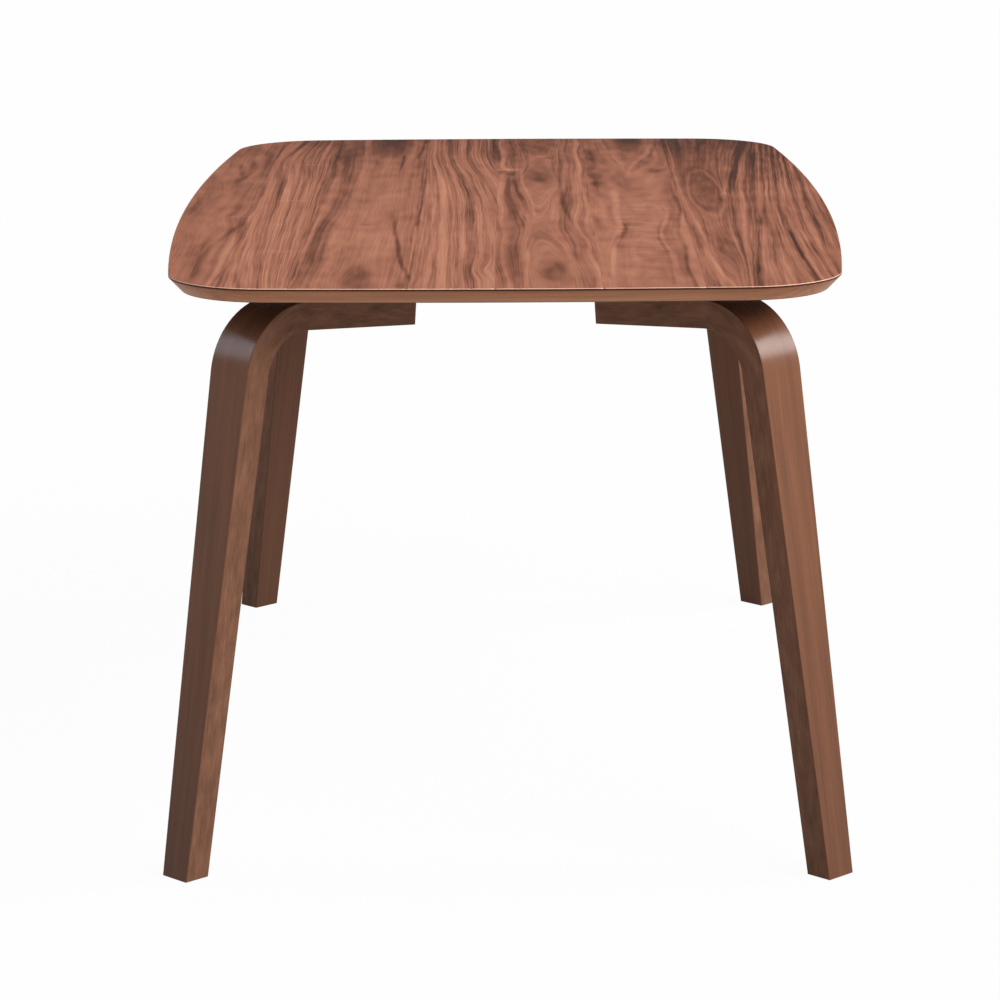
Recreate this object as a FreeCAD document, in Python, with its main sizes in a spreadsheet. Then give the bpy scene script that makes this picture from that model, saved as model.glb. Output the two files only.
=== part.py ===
import FreeCAD, Part
import math
import os

import Sketcher
from FreeCAD import Placement, Rotation, Vector

# A dining table: a thin veneered top with bowed ends and sides, on four bent plywood legs.
# Millimetres, +Z up. The origin is on the floor under the middle of the top. X runs across the table
# and Y along it. Each leg stands in an upright plane that points out of its corner of the table. In that
# plane the leg's own X runs outward from the outer face of its foot, and its own Z runs up.

SIZES = {
    # The whole table
    "TableLength": 1500,
    "TableWidth": 900,
    "TableHeight": 760,
    # Outline of the top: how far its ends and sides bow out, and its rounded corners
    "EndBow": 16.5,
    "SideBow": 41,
    "CornerRadius": 130,
    # Layers of the top and its edge
    "TopThickness": 20,
    "FaceVeneer": 1.2,
    "BackVeneer": 0.8,
    "LippingWidth": 26,
    "BevelInset": 16.5,
    "EdgeLand": 2.4,
    # How far the outer face of each foot, at the floor, lies in from the top's sides and from its ends,
    # and the way that the leg faces in plan
    "FootSideSet": 27,
    "FootEndSet": 22,
    "PlanAngle": 45,
    # The bent leg: its splay, the fall of its arm, its thickness and its widths
    "LegSplay": 9.65,
    "ArmFall": 4.9,
    "ArmGap": 11.8,
    "ArmLength": 278,
    "LegThickness": 36.5,
    "LegVeneer": 1.5,
    "LegWidth": 69.8,
    "FootWidth": 45.5,
    "TaperTop": 640,
    "BendRadius": 98,
    "LegArris": 0.9,
    # The wedge-shaped block between an arm and the top, set in from the arm's end and from its bend
    "BlockWidth": 62,
    "BlockEndSet": 10,
    "BlockBendSet": 16,
    "BlockChamfer": 4,
    # Leg bolts with their washers and inserts, set in from the arm's end and from its bend, and how deep
    # their heads are let into the arm
    "BoltEndSet": 34,
    "BoltBendSet": 41,
    "BoltGauge": 34,
    "BoltDiameter": 8,
    "BoltGrip": 11,
    "BoltHeadFlats": 13,
    "BoltHeadHeight": 5.3,
    "BoltSink": 8,
    "BoltPlay": 0.4,
    "WasherDiameter": 16,
    "WasherThickness": 1.6,
    "InsertDiameter": 12,
    "InsertLength": 13,
    "InsertPlay": 0.1,
    "ThreadPlay": 0.1,
    # Wood screws that hold each block up to the top, set in from the arm's end and from its bend
    "ScrewEndSet": 62,
    "ScrewBendSet": 71,
    "ScrewGauge": 34,
    "ScrewDiameter": 4.8,
    "ScrewHead": 9.4,
    "ScrewHeadHeight": 3.4,
    "ScrewSeat": 14,
    "ScrewBite": 12,
    "ScrewPlay": 0.15,
    # Round foot glides, let into the ends of the feet, and their screws
    "GlideDiameter": 28,
    "GlideThickness": 4,
    "GlideRecess": 2.8,
    "GlidePlay": 0.2,
    "GlideChamfer": 0.8,
    "GlideScrewDiameter": 3.4,
    "GlideScrewLength": 20,
    "GlideScrewHead": 7,
    "GlideHeadHeight": 1.8,
    "GlideHeadSink": 2.6,
    # Room that a cut takes beyond what it cuts
    "Overrun": 20,
}

# Places worked out from the sizes: the outline's great radii, the places of the feet and the height of
# their ends, the sharp corner that the bend rounds off, how that corner moves for each millimetre inward
# from the outer face, the outer end of the arm and the straight run that the bend leaves it
WORKED = {
    "EndRadius": "((Sizes.TableWidth / 2) ^ 2 + Sizes.EndBow ^ 2) / (2 * Sizes.EndBow)",
    "SideRadius": "((Sizes.TableLength / 2) ^ 2 + Sizes.SideBow ^ 2) / (2 * Sizes.SideBow)",
    "Underside": "Sizes.TableHeight - Sizes.TopThickness",
    "CoreBottom": "Sizes.TableHeight - Sizes.TopThickness + Sizes.BackVeneer",
    "CoreThickness": "Sizes.TopThickness - Sizes.FaceVeneer - Sizes.BackVeneer",
    "MitreX": "Sizes.TableWidth / 2 - Sizes.SideBow - Sizes.CornerRadius",
    "MitreY": "Sizes.TableLength / 2 - Sizes.EndBow - Sizes.CornerRadius",
    "MitreRun": "Sizes.CornerRadius + Sizes.SideBow + Sizes.EndBow + Sizes.Overrun",
    "FootX": "Sizes.TableWidth / 2 - Sizes.FootSideSet",
    "FootY": "Sizes.TableLength / 2 - Sizes.FootEndSet",
    "FootHeight": "Sizes.GlideThickness - Sizes.GlideRecess",
    "FootMiddle": "-Sizes.LegThickness / 2 / cos(Sizes.LegSplay) - FootHeight * tan(Sizes.LegSplay)",
    "CornerHeight": "Sizes.TableHeight - Sizes.TopThickness - Sizes.ArmGap",
    "CornerReach": "-(Sizes.TableHeight - Sizes.TopThickness - Sizes.ArmGap) * tan(Sizes.LegSplay)",
    "StepIn": "(sin(Sizes.LegSplay) - cos(Sizes.ArmFall)) / cos(Sizes.LegSplay - Sizes.ArmFall)",
    "StepDown": "(cos(Sizes.LegSplay) + sin(Sizes.ArmFall)) / cos(Sizes.LegSplay - Sizes.ArmFall)",
    "ArmEndX": "CornerReach - Sizes.ArmLength * cos(Sizes.ArmFall)",
    "ArmEndZ": "CornerHeight - Sizes.ArmLength * sin(Sizes.ArmFall)",
    "ArmRun": "Sizes.ArmLength - Sizes.BendRadius * tan(45 + (Sizes.ArmFall - Sizes.LegSplay) / 2)",
}

# Each corner of the table, by the side of the middle that it lies on along X and along Y
CORNERS = {
    "front_left": (-1, -1),
    "front_right": (1, -1),
    "back_left": (-1, 1),
    "back_right": (1, 1),
}
# Joints between the leaves of face veneer, from the left, as shares of the table's width from its middle
JOINT_SHARES = (-0.395, -0.295, -0.136, -0.014, 0.133, 0.273)
# Two places are the same within this share of the table's length, and an edge is tried at these shares
NEAR_SHARE = 1e-6
ALONG_SHARES = (0.1, 0.5, 0.9)

doc = FreeCAD.newDocument("DiningTable")
sizes = doc.addObject("Spreadsheet::Sheet", "Sizes")
for row, (name, number) in enumerate(SIZES.items(), start=1):
    sizes.set(f"A{row}", name)
    sizes.set(f"B{row}", str(number))
    sizes.setAlias(f"B{row}", name)
worked = doc.addObject("Spreadsheet::Sheet", "Worked")
for row, name in enumerate(WORKED, start=1):
    worked.set(f"A{row}", name)
    worked.setAlias(f"B{row}", name)
for row, formula in enumerate(WORKED.values(), start=1):
    worked.set(f"B{row}", "=" + formula)
doc.recompute()

nodes = {}


def value(expression):
    """The number that an expression in the sheets' names comes to."""
    return float(sizes.evalExpression(expression))


def feature(body, kind, name, **settings):
    """A new feature of a body, with its plain settings and its bound lengths."""
    made = body.newObject("PartDesign::" + kind, name)
    for setting, wanted in settings.items():
        if isinstance(wanted, str) and setting not in ("Type", "SideType", "ChamferType"):
            made.setExpression(setting, wanted)
        else:
            setattr(made, setting, wanted)
    doc.recompute()
    return made


def cut(body, sketch, name, **settings):
    """A pocket that must take some of the body away."""
    before = body.Shape.Volume
    made = feature(body, "Pocket", name, Profile=(sketch, [""]), **settings)
    if body.Shape.Volume > before * (1 - NEAR_SHARE):
        raise RuntimeError(f"{body.Label}: {name} cuts nothing")
    return made


def new_body(name):
    """A body for one sub-part, kept under the name of its node."""
    body = doc.addObject("PartDesign::Body", name)
    body.Label = name
    nodes[name] = body
    return body


def new_sketch(body, name, role, height=None):
    """A sketch on one of the body's own origin planes, or at a height above the floor plane."""
    sketch = body.newObject("Sketcher::SketchObject", name)
    plane = next(item for item in body.Origin.OriginFeatures if item.Role == role)
    sketch.AttachmentSupport = (plane, [""])
    sketch.MapMode = "FlatFace"
    if height:
        sketch.setExpression("AttachmentOffset.Base.z", height)
    doc.recompute()
    return sketch


def bind(sketch, kind, *place, expression):
    """A constraint of the sketch, bound to an expression."""
    index = sketch.addConstraint(Sketcher.Constraint(kind, *place, value(expression)))
    sketch.setExpression(f"Constraints[{index}]", expression)


def draw_loop(sketch, points):
    """A closed loop of straight lines through points given as pairs of expressions."""
    first = sketch.GeometryCount
    spots = [Vector(value(across), value(up), 0) for across, up in points]
    count = len(spots)
    for index in range(count):
        sketch.addGeometry(Part.LineSegment(spots[index], spots[(index + 1) % count]), False)
    for index in range(count):
        here, following = first + index, first + (index + 1) % count
        sketch.addConstraint(Sketcher.Constraint("Coincident", here, 2, following, 1))
    for index, (across, up) in enumerate(points):
        bind(sketch, "DistanceX", -1, 1, first + index, 1, expression=across)
        bind(sketch, "DistanceY", -1, 1, first + index, 1, expression=up)


def draw_box(sketch, left, right, reach):
    """A rectangle between two places across, that reaches as far to either side of the X axis."""
    draw_loop(sketch, [(left, "-" + reach), (right, "-" + reach), (right, reach), (left, reach)])


def draw_circles(sketch, centres, diameter):
    """Circles of one diameter at centres given as pairs of expressions."""
    for across, up in centres:
        circle = Part.Circle(Vector(value(across), value(up), 0), Vector(0, 0, 1), value(diameter) / 2)
        index = sketch.addGeometry(circle, False)
        bind(sketch, "DistanceX", -1, 1, index, 3, expression=across)
        bind(sketch, "DistanceY", -1, 1, index, 3, expression=up)
        bind(sketch, "Diameter", index, expression=diameter)


def draw_outline(sketch, inset):
    """The outline of the top, moved inward by an inset: four great arcs and four corner arcs."""
    half_width = value("Sizes.TableWidth / 2")
    half_length = value("Sizes.TableLength / 2")
    end_radius = value("Worked.EndRadius")
    side_radius = value("Worked.SideRadius")
    corner = value("Sizes.CornerRadius")
    end_centre = Vector(0, half_length - end_radius, 0)
    side_centre = Vector(half_width - side_radius, 0, 0)
    # The corner arc's centre lies where circles about both great centres meet
    reach_end, reach_side = end_radius - corner, side_radius - corner
    line = side_centre - end_centre
    along = (line.Length ** 2 + reach_end ** 2 - reach_side ** 2) / (2 * line.Length)
    aside = math.sqrt(reach_end ** 2 - along ** 2)
    way = Vector(line).normalize()
    turned = Vector(-way.y, way.x, 0)
    corner_centre = end_centre + way * along + turned * aside
    if corner_centre.x + corner_centre.y < 0:
        corner_centre = end_centre + way * along - turned * aside
    from_side = corner_centre - side_centre
    from_end = corner_centre - end_centre
    low = math.atan2(from_side.y, from_side.x)
    high = math.atan2(from_end.y, from_end.x)
    shrink = value(inset)
    side, end, small = side_radius - shrink, end_radius - shrink, corner - shrink
    x, y = corner_centre.x, corner_centre.y
    arcs = [
        (side_centre.x, 0, side, -low, low),
        (x, y, small, low, high),
        (0, end_centre.y, end, high, math.pi - high),
        (-x, y, small, math.pi - high, math.pi - low),
        (-side_centre.x, 0, side, math.pi - low, math.pi + low),
        (-x, -y, small, math.pi + low, math.pi + high),
        (0, -end_centre.y, end, math.pi + high, math.tau - high),
        (x, -y, small, math.tau - high, math.tau - low),
    ]
    for across, up, radius, start, finish in arcs:
        circle = Part.Circle(Vector(across, up, 0), Vector(0, 0, 1), radius)
        sketch.addGeometry(Part.ArcOfCircle(circle, start, finish), False)
    for index in range(len(arcs)):
        following = (index + 1) % len(arcs)
        sketch.addConstraint(Sketcher.Constraint("Tangent", index, 2, following, 1))
    great = {
        0: ("Sizes.TableWidth / 2 - Worked.SideRadius", "0", "Worked.SideRadius"),
        2: ("0", "Sizes.TableLength / 2 - Worked.EndRadius", "Worked.EndRadius"),
        4: ("Worked.SideRadius - Sizes.TableWidth / 2", "0", "Worked.SideRadius"),
        6: ("0", "Worked.EndRadius - Sizes.TableLength / 2", "Worked.EndRadius"),
    }
    for index in range(len(arcs)):
        if index in great:
            across, up, radius = great[index]
            bind(sketch, "DistanceX", -1, 1, index, 3, expression=across)
            bind(sketch, "DistanceY", -1, 1, index, 3, expression=up)
        else:
            radius = "Sizes.CornerRadius"
        bind(sketch, "Radius", index, expression=f"{radius} - ({inset})")


def near():
    """How close two places are when they count as one."""
    return NEAR_SHARE * value("Sizes.TableLength")


def edges_where(shape, test):
    """Names of the shape's edges that pass a test."""
    return [f"Edge{index}" for index, edge in enumerate(shape.Edges, start=1) if test(edge)]


def edges_at_height(shape, height):
    """Names of the edges that lie level at one height."""
    return edges_where(shape, lambda edge: all(abs(v.Z - height) < near() for v in edge.Vertexes))


def upright_edges(shape):
    """Names of the straight edges that run straight up."""
    return edges_where(shape, lambda edge: abs(edge.tangentAt(edge.FirstParameter).z) > 1 - NEAR_SHARE)


# The top

def outline_pad(body, name, inset, height, thickness):
    """A slab of the top's outline, from a height upwards."""
    sketch = new_sketch(body, name + "_outline", "XY_Plane", height)
    draw_outline(sketch, inset)
    return feature(body, "Pad", name, Profile=(sketch, [""]), Length=thickness)


def turn_of(corner):
    """The plan angle of a corner's leg, as an expression in degrees."""
    side_x, side_y = CORNERS[corner]
    if side_x > 0:
        return f"({side_y} * Sizes.PlanAngle)"
    return f"(180 - {side_y} * Sizes.PlanAngle)"


def leg_to_table(corner, reach, aside):
    """The place in the table's plan of a place in a leg's own plan, as expressions."""
    side_x, side_y = CORNERS[corner]
    turn = turn_of(corner)
    return (
        f"{side_x} * Worked.FootX + ({reach}) * cos({turn}) - ({aside}) * sin({turn})",
        f"{side_y} * Worked.FootY + ({reach}) * sin({turn}) + ({aside}) * cos({turn})",
    )


def screw_places():
    """Places of a block's screws in a leg's own plan, as pairs of expressions."""
    reaches = [
        "Worked.ArmEndX + Sizes.ScrewEndSet",
        "Worked.ArmEndX + Worked.ArmRun - Sizes.ScrewBendSet",
    ]
    return [(reach, f"{side} * Sizes.ScrewGauge / 2") for reach in reaches for side in (-1, 1)]


def all_screw_places():
    """Places of the block screws of all four legs in the table's plan."""
    return [leg_to_table(corner, *place) for corner in CORNERS for place in screw_places()]


def make_core():
    body = new_body("top_core")
    outline_pad(body, "core_panel", "Sizes.LippingWidth", "Worked.CoreBottom", "Worked.CoreThickness")
    holes = new_sketch(body, "core_pilots", "XY_Plane", "Worked.CoreBottom")
    draw_circles(holes, all_screw_places(), "Sizes.ScrewDiameter + 2 * Sizes.ScrewPlay")
    cut(body, holes, "core_pilot_holes", Length="Sizes.ScrewBite", Reversed=True)


def make_backing():
    body = new_body("top_backing_veneer")
    outline_pad(body, "backing_sheet", "Sizes.BevelInset", "Worked.Underside", "Sizes.BackVeneer")
    holes = new_sketch(body, "backing_pilots", "XY_Plane", "Worked.Underside")
    draw_circles(holes, all_screw_places(), "Sizes.ScrewDiameter + 2 * Sizes.ScrewPlay")
    cut(body, holes, "backing_holes", Type="ThroughAll", SideType="Symmetric")


def make_leaf(number):
    """One leaf of the face veneer, counted from the left. Each is as wide as its log gave."""
    name = f"top_veneer_leaf_{number}"
    body = new_body(name)
    outline_pad(body, f"leaf_{number}_sheet", "0",
                "Sizes.TableHeight - Sizes.FaceVeneer", "Sizes.FaceVeneer")
    far_x = "(Sizes.TableWidth / 2 + Sizes.Overrun)"
    far_y = "(Sizes.TableLength / 2 + Sizes.Overrun)"
    waste = new_sketch(body, f"leaf_{number}_waste", "XY_Plane", "Sizes.TableHeight")
    if number > 1:
        draw_box(waste, "-" + far_x, f"{JOINT_SHARES[number - 2]} * Sizes.TableWidth", far_y)
    if number <= len(JOINT_SHARES):
        draw_box(waste, f"{JOINT_SHARES[number - 1]} * Sizes.TableWidth", far_x, far_y)
    cut(body, waste, f"leaf_{number}_trim", Type="ThroughAll", SideType="Symmetric")


def make_lipping(name, is_end, turn):
    """One length of edge lipping, mitred to its neighbours at the rounded corners."""
    body = new_body(name)
    slab = outline_pad(body, name + "_slab", "0",
                       "Worked.CoreBottom", "Worked.CoreThickness")
    rim = edges_at_height(slab.Shape, value("Worked.CoreBottom"))
    feature(body, "Chamfer", name + "_bevel", Base=(slab, rim), ChamferType="Two distances",
            Size="Sizes.BevelInset", Size2="Worked.CoreThickness - Sizes.EdgeLand")
    inner = new_sketch(body, name + "_inner", "XY_Plane", "Worked.CoreBottom")
    draw_outline(inner, "Sizes.LippingWidth")
    cut(body, inner, name + "_rebate", Type="ThroughAll", SideType="Symmetric")
    mitre = new_sketch(body, name + "_mitre_lines", "XY_Plane", "Worked.CoreBottom")
    near_x, near_y, run = "Worked.MitreX", "Worked.MitreY", "Worked.MitreRun"
    if is_end:
        kept = [(f"-{near_x}", near_y), (near_x, near_y),
                (f"{near_x} + {run}", f"{near_y} + {run}"), (f"-{near_x} - {run}", f"{near_y} + {run}")]
    else:
        kept = [(near_x, near_y), (near_x, f"-{near_y}"),
                (f"{near_x} + {run}", f"-{near_y} - {run}"), (f"{near_x} + {run}", f"{near_y} + {run}")]
    far_x = f"({near_x} + {run} + Sizes.Overrun)"
    far_y = f"({near_y} + {run} + Sizes.Overrun)"
    draw_box(mitre, "-" + far_x, far_x, far_y)
    draw_loop(mitre, kept)
    cut(body, mitre, name + "_mitres", Type="ThroughAll", SideType="Symmetric")
    body.Placement = Placement(Vector(), Rotation(Vector(0, 0, 1), turn))


# The legs, each drawn in its own upright plane and then set at its corner

def set_at_corner(body, corner):
    """Stand a body that is drawn in a leg's own plane at a corner of the table."""
    side_x, side_y = CORNERS[corner]
    body.Placement = Placement(Vector(), Rotation(Vector(0, 0, 1), value(turn_of(corner))))
    body.setExpression("Placement.Base.x", f"{side_x} * Worked.FootX")
    body.setExpression("Placement.Base.y", f"{side_y} * Worked.FootY")
    body.setExpression("Placement.Rotation.Angle", f"{turn_of(corner)} * 1 deg")


def foot_at(depth):
    """The leg's profile at a depth under its outer face, at the end of the foot."""
    return (f"-({depth}) / cos(Sizes.LegSplay) - Worked.FootHeight * tan(Sizes.LegSplay)",
            "Worked.FootHeight")


def bend_at(depth):
    """The sharp corner that the bend rounds off, at a depth under the outer face."""
    return (f"Worked.CornerReach + ({depth}) * Worked.StepIn",
            f"Worked.CornerHeight - ({depth}) * Worked.StepDown")


def arm_at(run, depth="0"):
    """A place on the arm, by its run from the arm's end and its depth under the outer face."""
    return (
        f"Worked.ArmEndX + ({run}) * cos(Sizes.ArmFall) + ({depth}) * sin(Sizes.ArmFall)",
        f"Worked.ArmEndZ + ({run}) * sin(Sizes.ArmFall) - ({depth}) * cos(Sizes.ArmFall)",
    )


def arm_sketch(body, name, depth="0"):
    """A sketch at a depth under the arm's outer face and along it, with its origin at the arm's end."""
    sketch = new_sketch(body, name, "XY_Plane")
    sketch.AttachmentOffset = Placement(Vector(), Rotation(Vector(0, -1, 0), value("Sizes.ArmFall")))
    across, up = arm_at("0", depth)
    sketch.setExpression("AttachmentOffset.Base.x", across)
    sketch.setExpression("AttachmentOffset.Base.z", up)
    sketch.setExpression("AttachmentOffset.Rotation.Angle", "Sizes.ArmFall * 1 deg")
    doc.recompute()
    return sketch


def bolt_places():
    """Places of a leg's bolts in the plane of its arm, as pairs of expressions."""
    runs = ["Sizes.BoltEndSet", "Worked.ArmRun - Sizes.BoltBendSet"]
    return [(run, f"{side} * Sizes.BoltGauge / 2") for run in runs for side in (-1, 1)]


def round_bend(body, name, blank, depth):
    """Round the bend of a leg layer at one of its two faces."""
    x, z = (value(part) for part in bend_at(depth))
    edges = edges_where(blank.Shape, lambda edge: all(
        math.hypot(v.X - x, v.Z - z) < near() for v in edge.Vertexes))
    return feature(body, "Fillet", name, Base=(blank, edges), Radius=f"Sizes.BendRadius - ({depth})")


def long_edges(shape, depth):
    """Names of the edges that run along one face of a leg layer, at its two sides."""
    radius = value("Sizes.BendRadius") - value(depth)
    splay = math.radians(value("Sizes.LegSplay"))
    fall = math.radians(value("Sizes.ArmFall"))
    x, z = (value(part) for part in bend_at(depth))

    def runs_along(edge):
        first, last = edge.ParameterRange
        spots = [edge.valueAt(first + (last - first) * share) for share in ALONG_SHARES]
        if any(abs(spot.y) < value("Sizes.FootWidth") / 4 for spot in spots):
            return False
        off_leg = [(s.x - x) * math.cos(splay) + (s.z - z) * math.sin(splay) for s in spots]
        off_arm = [(s.z - z) * math.cos(fall) - (s.x - x) * math.sin(fall) for s in spots]
        on_leg = all(abs(gap) < near() for gap in off_leg)
        on_arm = all(abs(gap) < near() for gap in off_arm)
        on_bend = edge.Curve.TypeId == "Part::GeomCircle" and abs(edge.Curve.Radius - radius) < near()
        return on_leg or on_arm or on_bend

    return edges_where(shape, runs_along)


def leg_layer(name, outer, inner, bore):
    """A layer of a bent leg between two depths, cut to the leg's taper and bored for its bolts."""
    body = new_body(name)
    profile = new_sketch(body, name + "_profile", "XZ_Plane")
    draw_loop(profile, [foot_at(outer), bend_at(outer), arm_at("0", outer),
                        arm_at("0", inner), bend_at(inner), foot_at(inner)])
    blank = feature(body, "Pad", name + "_blank", Profile=(profile, [""]),
                    SideType="Symmetric", Length="Sizes.LegWidth")
    outer_bend = round_bend(body, name + "_outer_bend", blank, outer)
    round_bend(body, name + "_inner_bend", outer_bend, inner)
    taper = new_sketch(body, name + "_taper_lines", "YZ_Plane")
    for side in ("", "-"):
        draw_loop(taper, [
            (f"{side}Sizes.FootWidth / 2", "0"),
            (f"{side}Sizes.LegWidth / 2", "Sizes.TaperTop"),
            (f"{side}(Sizes.LegWidth / 2 + Sizes.Overrun)", "Sizes.TaperTop"),
            (f"{side}(Sizes.LegWidth / 2 + Sizes.Overrun)", "0"),
        ])
    cut(body, taper, name + "_taper", Type="ThroughAll", SideType="Symmetric")
    holes = arm_sketch(body, name + "_bolt_circles")
    draw_circles(holes, bolt_places(), bore)
    cut(body, holes, name + "_bolt_holes", Type="ThroughAll", SideType="Symmetric")
    return body


def make_leg(corner):
    core_depth = "(Sizes.LegThickness - Sizes.LegVeneer)"
    shank_bore = "Sizes.BoltDiameter + 2 * Sizes.BoltPlay"
    head_bore = "Sizes.WasherDiameter + 2 * Sizes.BoltPlay"
    core = leg_layer(f"leg_core_{corner}", "Sizes.LegVeneer", core_depth, shank_bore)
    seats = arm_sketch(core, f"bolt_seat_circles_{corner}", "Sizes.LegThickness - Sizes.BoltSink")
    draw_circles(seats, bolt_places(), head_bore)
    cut(core, seats, f"bolt_seats_{corner}", Length="Sizes.BoltSink")
    recess = new_sketch(core, f"foot_recess_circle_{corner}", "XY_Plane", "Worked.FootHeight")
    draw_circles(recess, [("Worked.FootMiddle", "0")], "Sizes.GlideDiameter + 2 * Sizes.GlidePlay")
    cut(core, recess, f"foot_recess_{corner}", Length="Sizes.GlideRecess", Reversed=True)
    pilot = new_sketch(core, f"foot_pilot_{corner}", "XY_Plane", "Sizes.GlideThickness")
    draw_circles(pilot, [("Worked.FootMiddle", "0")],
                 "Sizes.GlideScrewDiameter + 2 * Sizes.ScrewPlay")
    cut(core, pilot, f"foot_pilot_hole_{corner}", Length="Sizes.GlideScrewLength", Reversed=True)
    outer = leg_layer(f"leg_outer_veneer_{corner}", "0", "Sizes.LegVeneer", shank_bore)
    inner = leg_layer(f"leg_inner_veneer_{corner}", core_depth, "Sizes.LegThickness", head_bore)
    for body, depth in ((outer, "0"), (inner, "Sizes.LegThickness")):
        feature(body, "Fillet", body.Name + "_arris", Base=(body.Tip, long_edges(body.Tip.Shape, depth)),
                Radius="Sizes.LegArris")
    for body in (core, outer, inner):
        set_at_corner(body, corner)


def make_block(corner):
    """The wedge between an arm and the underside of the top."""
    body = new_body(f"mounting_block_{corner}")
    profile = new_sketch(body, f"block_profile_{corner}", "XZ_Plane")
    low = arm_at("Sizes.BlockEndSet")
    high = arm_at("Worked.ArmRun - Sizes.BlockBendSet")
    draw_loop(profile, [low, high, (high[0], "Worked.Underside"), (low[0], "Worked.Underside")])
    blank = feature(body, "Pad", f"block_blank_{corner}", Profile=(profile, [""]),
                    SideType="Symmetric", Length="Sizes.BlockWidth")
    feature(body, "Chamfer", f"block_corners_{corner}", Base=(blank, upright_edges(blank.Shape)),
            Size="Sizes.BlockChamfer")
    sockets = arm_sketch(body, f"insert_circles_{corner}")
    draw_circles(sockets, bolt_places(), "Sizes.InsertDiameter + 2 * Sizes.InsertPlay")
    cut(body, sockets, f"insert_sockets_{corner}", Length="Sizes.InsertLength", Reversed=True)
    shanks = new_sketch(body, f"screw_circles_{corner}", "XY_Plane", "Worked.Underside")
    draw_circles(shanks, screw_places(), "Sizes.ScrewDiameter + 2 * Sizes.ScrewPlay")
    cut(body, shanks, f"screw_holes_{corner}", Type="ThroughAll", SideType="Symmetric")
    heads = new_sketch(body, f"head_circles_{corner}", "XY_Plane", "Worked.Underside - Sizes.ScrewSeat")
    draw_circles(heads, screw_places(), "Sizes.ScrewHead + 4 * Sizes.ScrewPlay")
    cut(body, heads, f"head_bores_{corner}", Type="ThroughAll")
    set_at_corner(body, corner)


def make_glide(corner):
    """The round pad let into the end of a foot, with a sunk screw."""
    body = new_body(f"foot_glide_{corner}")
    plan = new_sketch(body, f"glide_circle_{corner}", "XY_Plane")
    draw_circles(plan, [("Worked.FootMiddle", "0")], "Sizes.GlideDiameter")
    pad = feature(body, "Pad", f"glide_pad_{corner}", Profile=(plan, [""]), Length="Sizes.GlideThickness")
    feature(body, "Chamfer", f"glide_rim_{corner}", Base=(pad, edges_at_height(pad.Shape, 0)),
            Size="Sizes.GlideChamfer")
    hole = new_sketch(body, f"glide_hole_circle_{corner}", "XY_Plane")
    draw_circles(hole, [("Worked.FootMiddle", "0")],
                 "Sizes.GlideScrewDiameter + 2 * Sizes.ScrewPlay")
    cut(body, hole, f"glide_hole_{corner}", Type="ThroughAll", SideType="Symmetric")
    sink = new_sketch(body, f"glide_sink_circle_{corner}", "XY_Plane")
    draw_circles(sink, [("Worked.FootMiddle", "0")], "Sizes.GlideScrewHead + 2 * Sizes.ScrewPlay")
    cut(body, sink, f"glide_sink_{corner}", Length="Sizes.GlideHeadSink", Reversed=True)
    set_at_corner(body, corner)


# Fasteners: one shape of each kind, repeated at every place as separate solids

def cylinder(diameter, low, high):
    """A cylinder on the Z axis between two heights."""
    return Part.makeCylinder(diameter / 2, high - low, Vector(0, 0, low))


def hexagon(flats, low, high):
    """A six-sided prism on the Z axis, by the distance across its flats."""
    reach = flats / math.sqrt(3)
    points = [Vector(reach * math.cos(k * math.pi / 3), reach * math.sin(k * math.pi / 3), low)
              for k in range(6)]
    face = Part.Face(Part.makePolygon(points + points[:1]))
    return face.extrude(Vector(0, 0, high - low))


def corner_placement(corner):
    """Where a leg's own plane stands in the table."""
    side_x, side_y = CORNERS[corner]
    foot = Vector(side_x * value("Worked.FootX"), side_y * value("Worked.FootY"), 0)
    return Placement(foot, Rotation(Vector(0, 0, 1), value(turn_of(corner))))


def arm_placement():
    """The plane of the arm's outer face within a leg's own plane."""
    end = Vector(value("Worked.ArmEndX"), 0, value("Worked.ArmEndZ"))
    return Placement(end, Rotation(Vector(0, -1, 0), value("Sizes.ArmFall")))


def spread(name, shape, places):
    """A node that holds a copy of one shape at every place."""
    copies = []
    for place in places:
        copy = shape.copy()
        copy.Placement = place
        copies.append(copy)
    node = doc.addObject("Part::Feature", name)
    node.Label = name
    node.Shape = Part.makeCompound(copies)
    node.Placement = Placement()
    nodes[name] = node


def all_bolt_placements():
    frame = arm_placement()
    spots = [Vector(value(along), value(across), 0) for along, across in bolt_places()]
    return [corner_placement(corner) * frame * Placement(spot, Rotation())
            for corner in CORNERS for spot in spots]


def make_bolts():
    """Hexagon bolts up through the arms, their washers, and the inserts that they screw into."""
    seat = -value("Sizes.LegThickness - Sizes.BoltSink")
    under_washer = seat - value("Sizes.WasherThickness")
    under_head = under_washer - value("Sizes.BoltHeadHeight")
    diameter = value("Sizes.BoltDiameter")
    play = value("Sizes.BoltPlay")
    bolt = hexagon(value("Sizes.BoltHeadFlats"), under_head, under_washer)
    bolt = bolt.fuse(cylinder(diameter, under_washer, value("Sizes.BoltGrip")))
    washer = cylinder(value("Sizes.WasherDiameter"), under_washer, seat)
    washer = washer.cut(cylinder(diameter + 2 * play, under_washer, seat))
    length = value("Sizes.InsertLength")
    insert = cylinder(value("Sizes.InsertDiameter"), 0, length)
    insert = insert.cut(cylinder(diameter + 2 * value("Sizes.ThreadPlay"), 0, length))
    places = all_bolt_placements()
    spread("leg_bolts", bolt, places)
    spread("leg_bolt_washers", washer, places)
    spread("threaded_inserts", insert, places)


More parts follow.
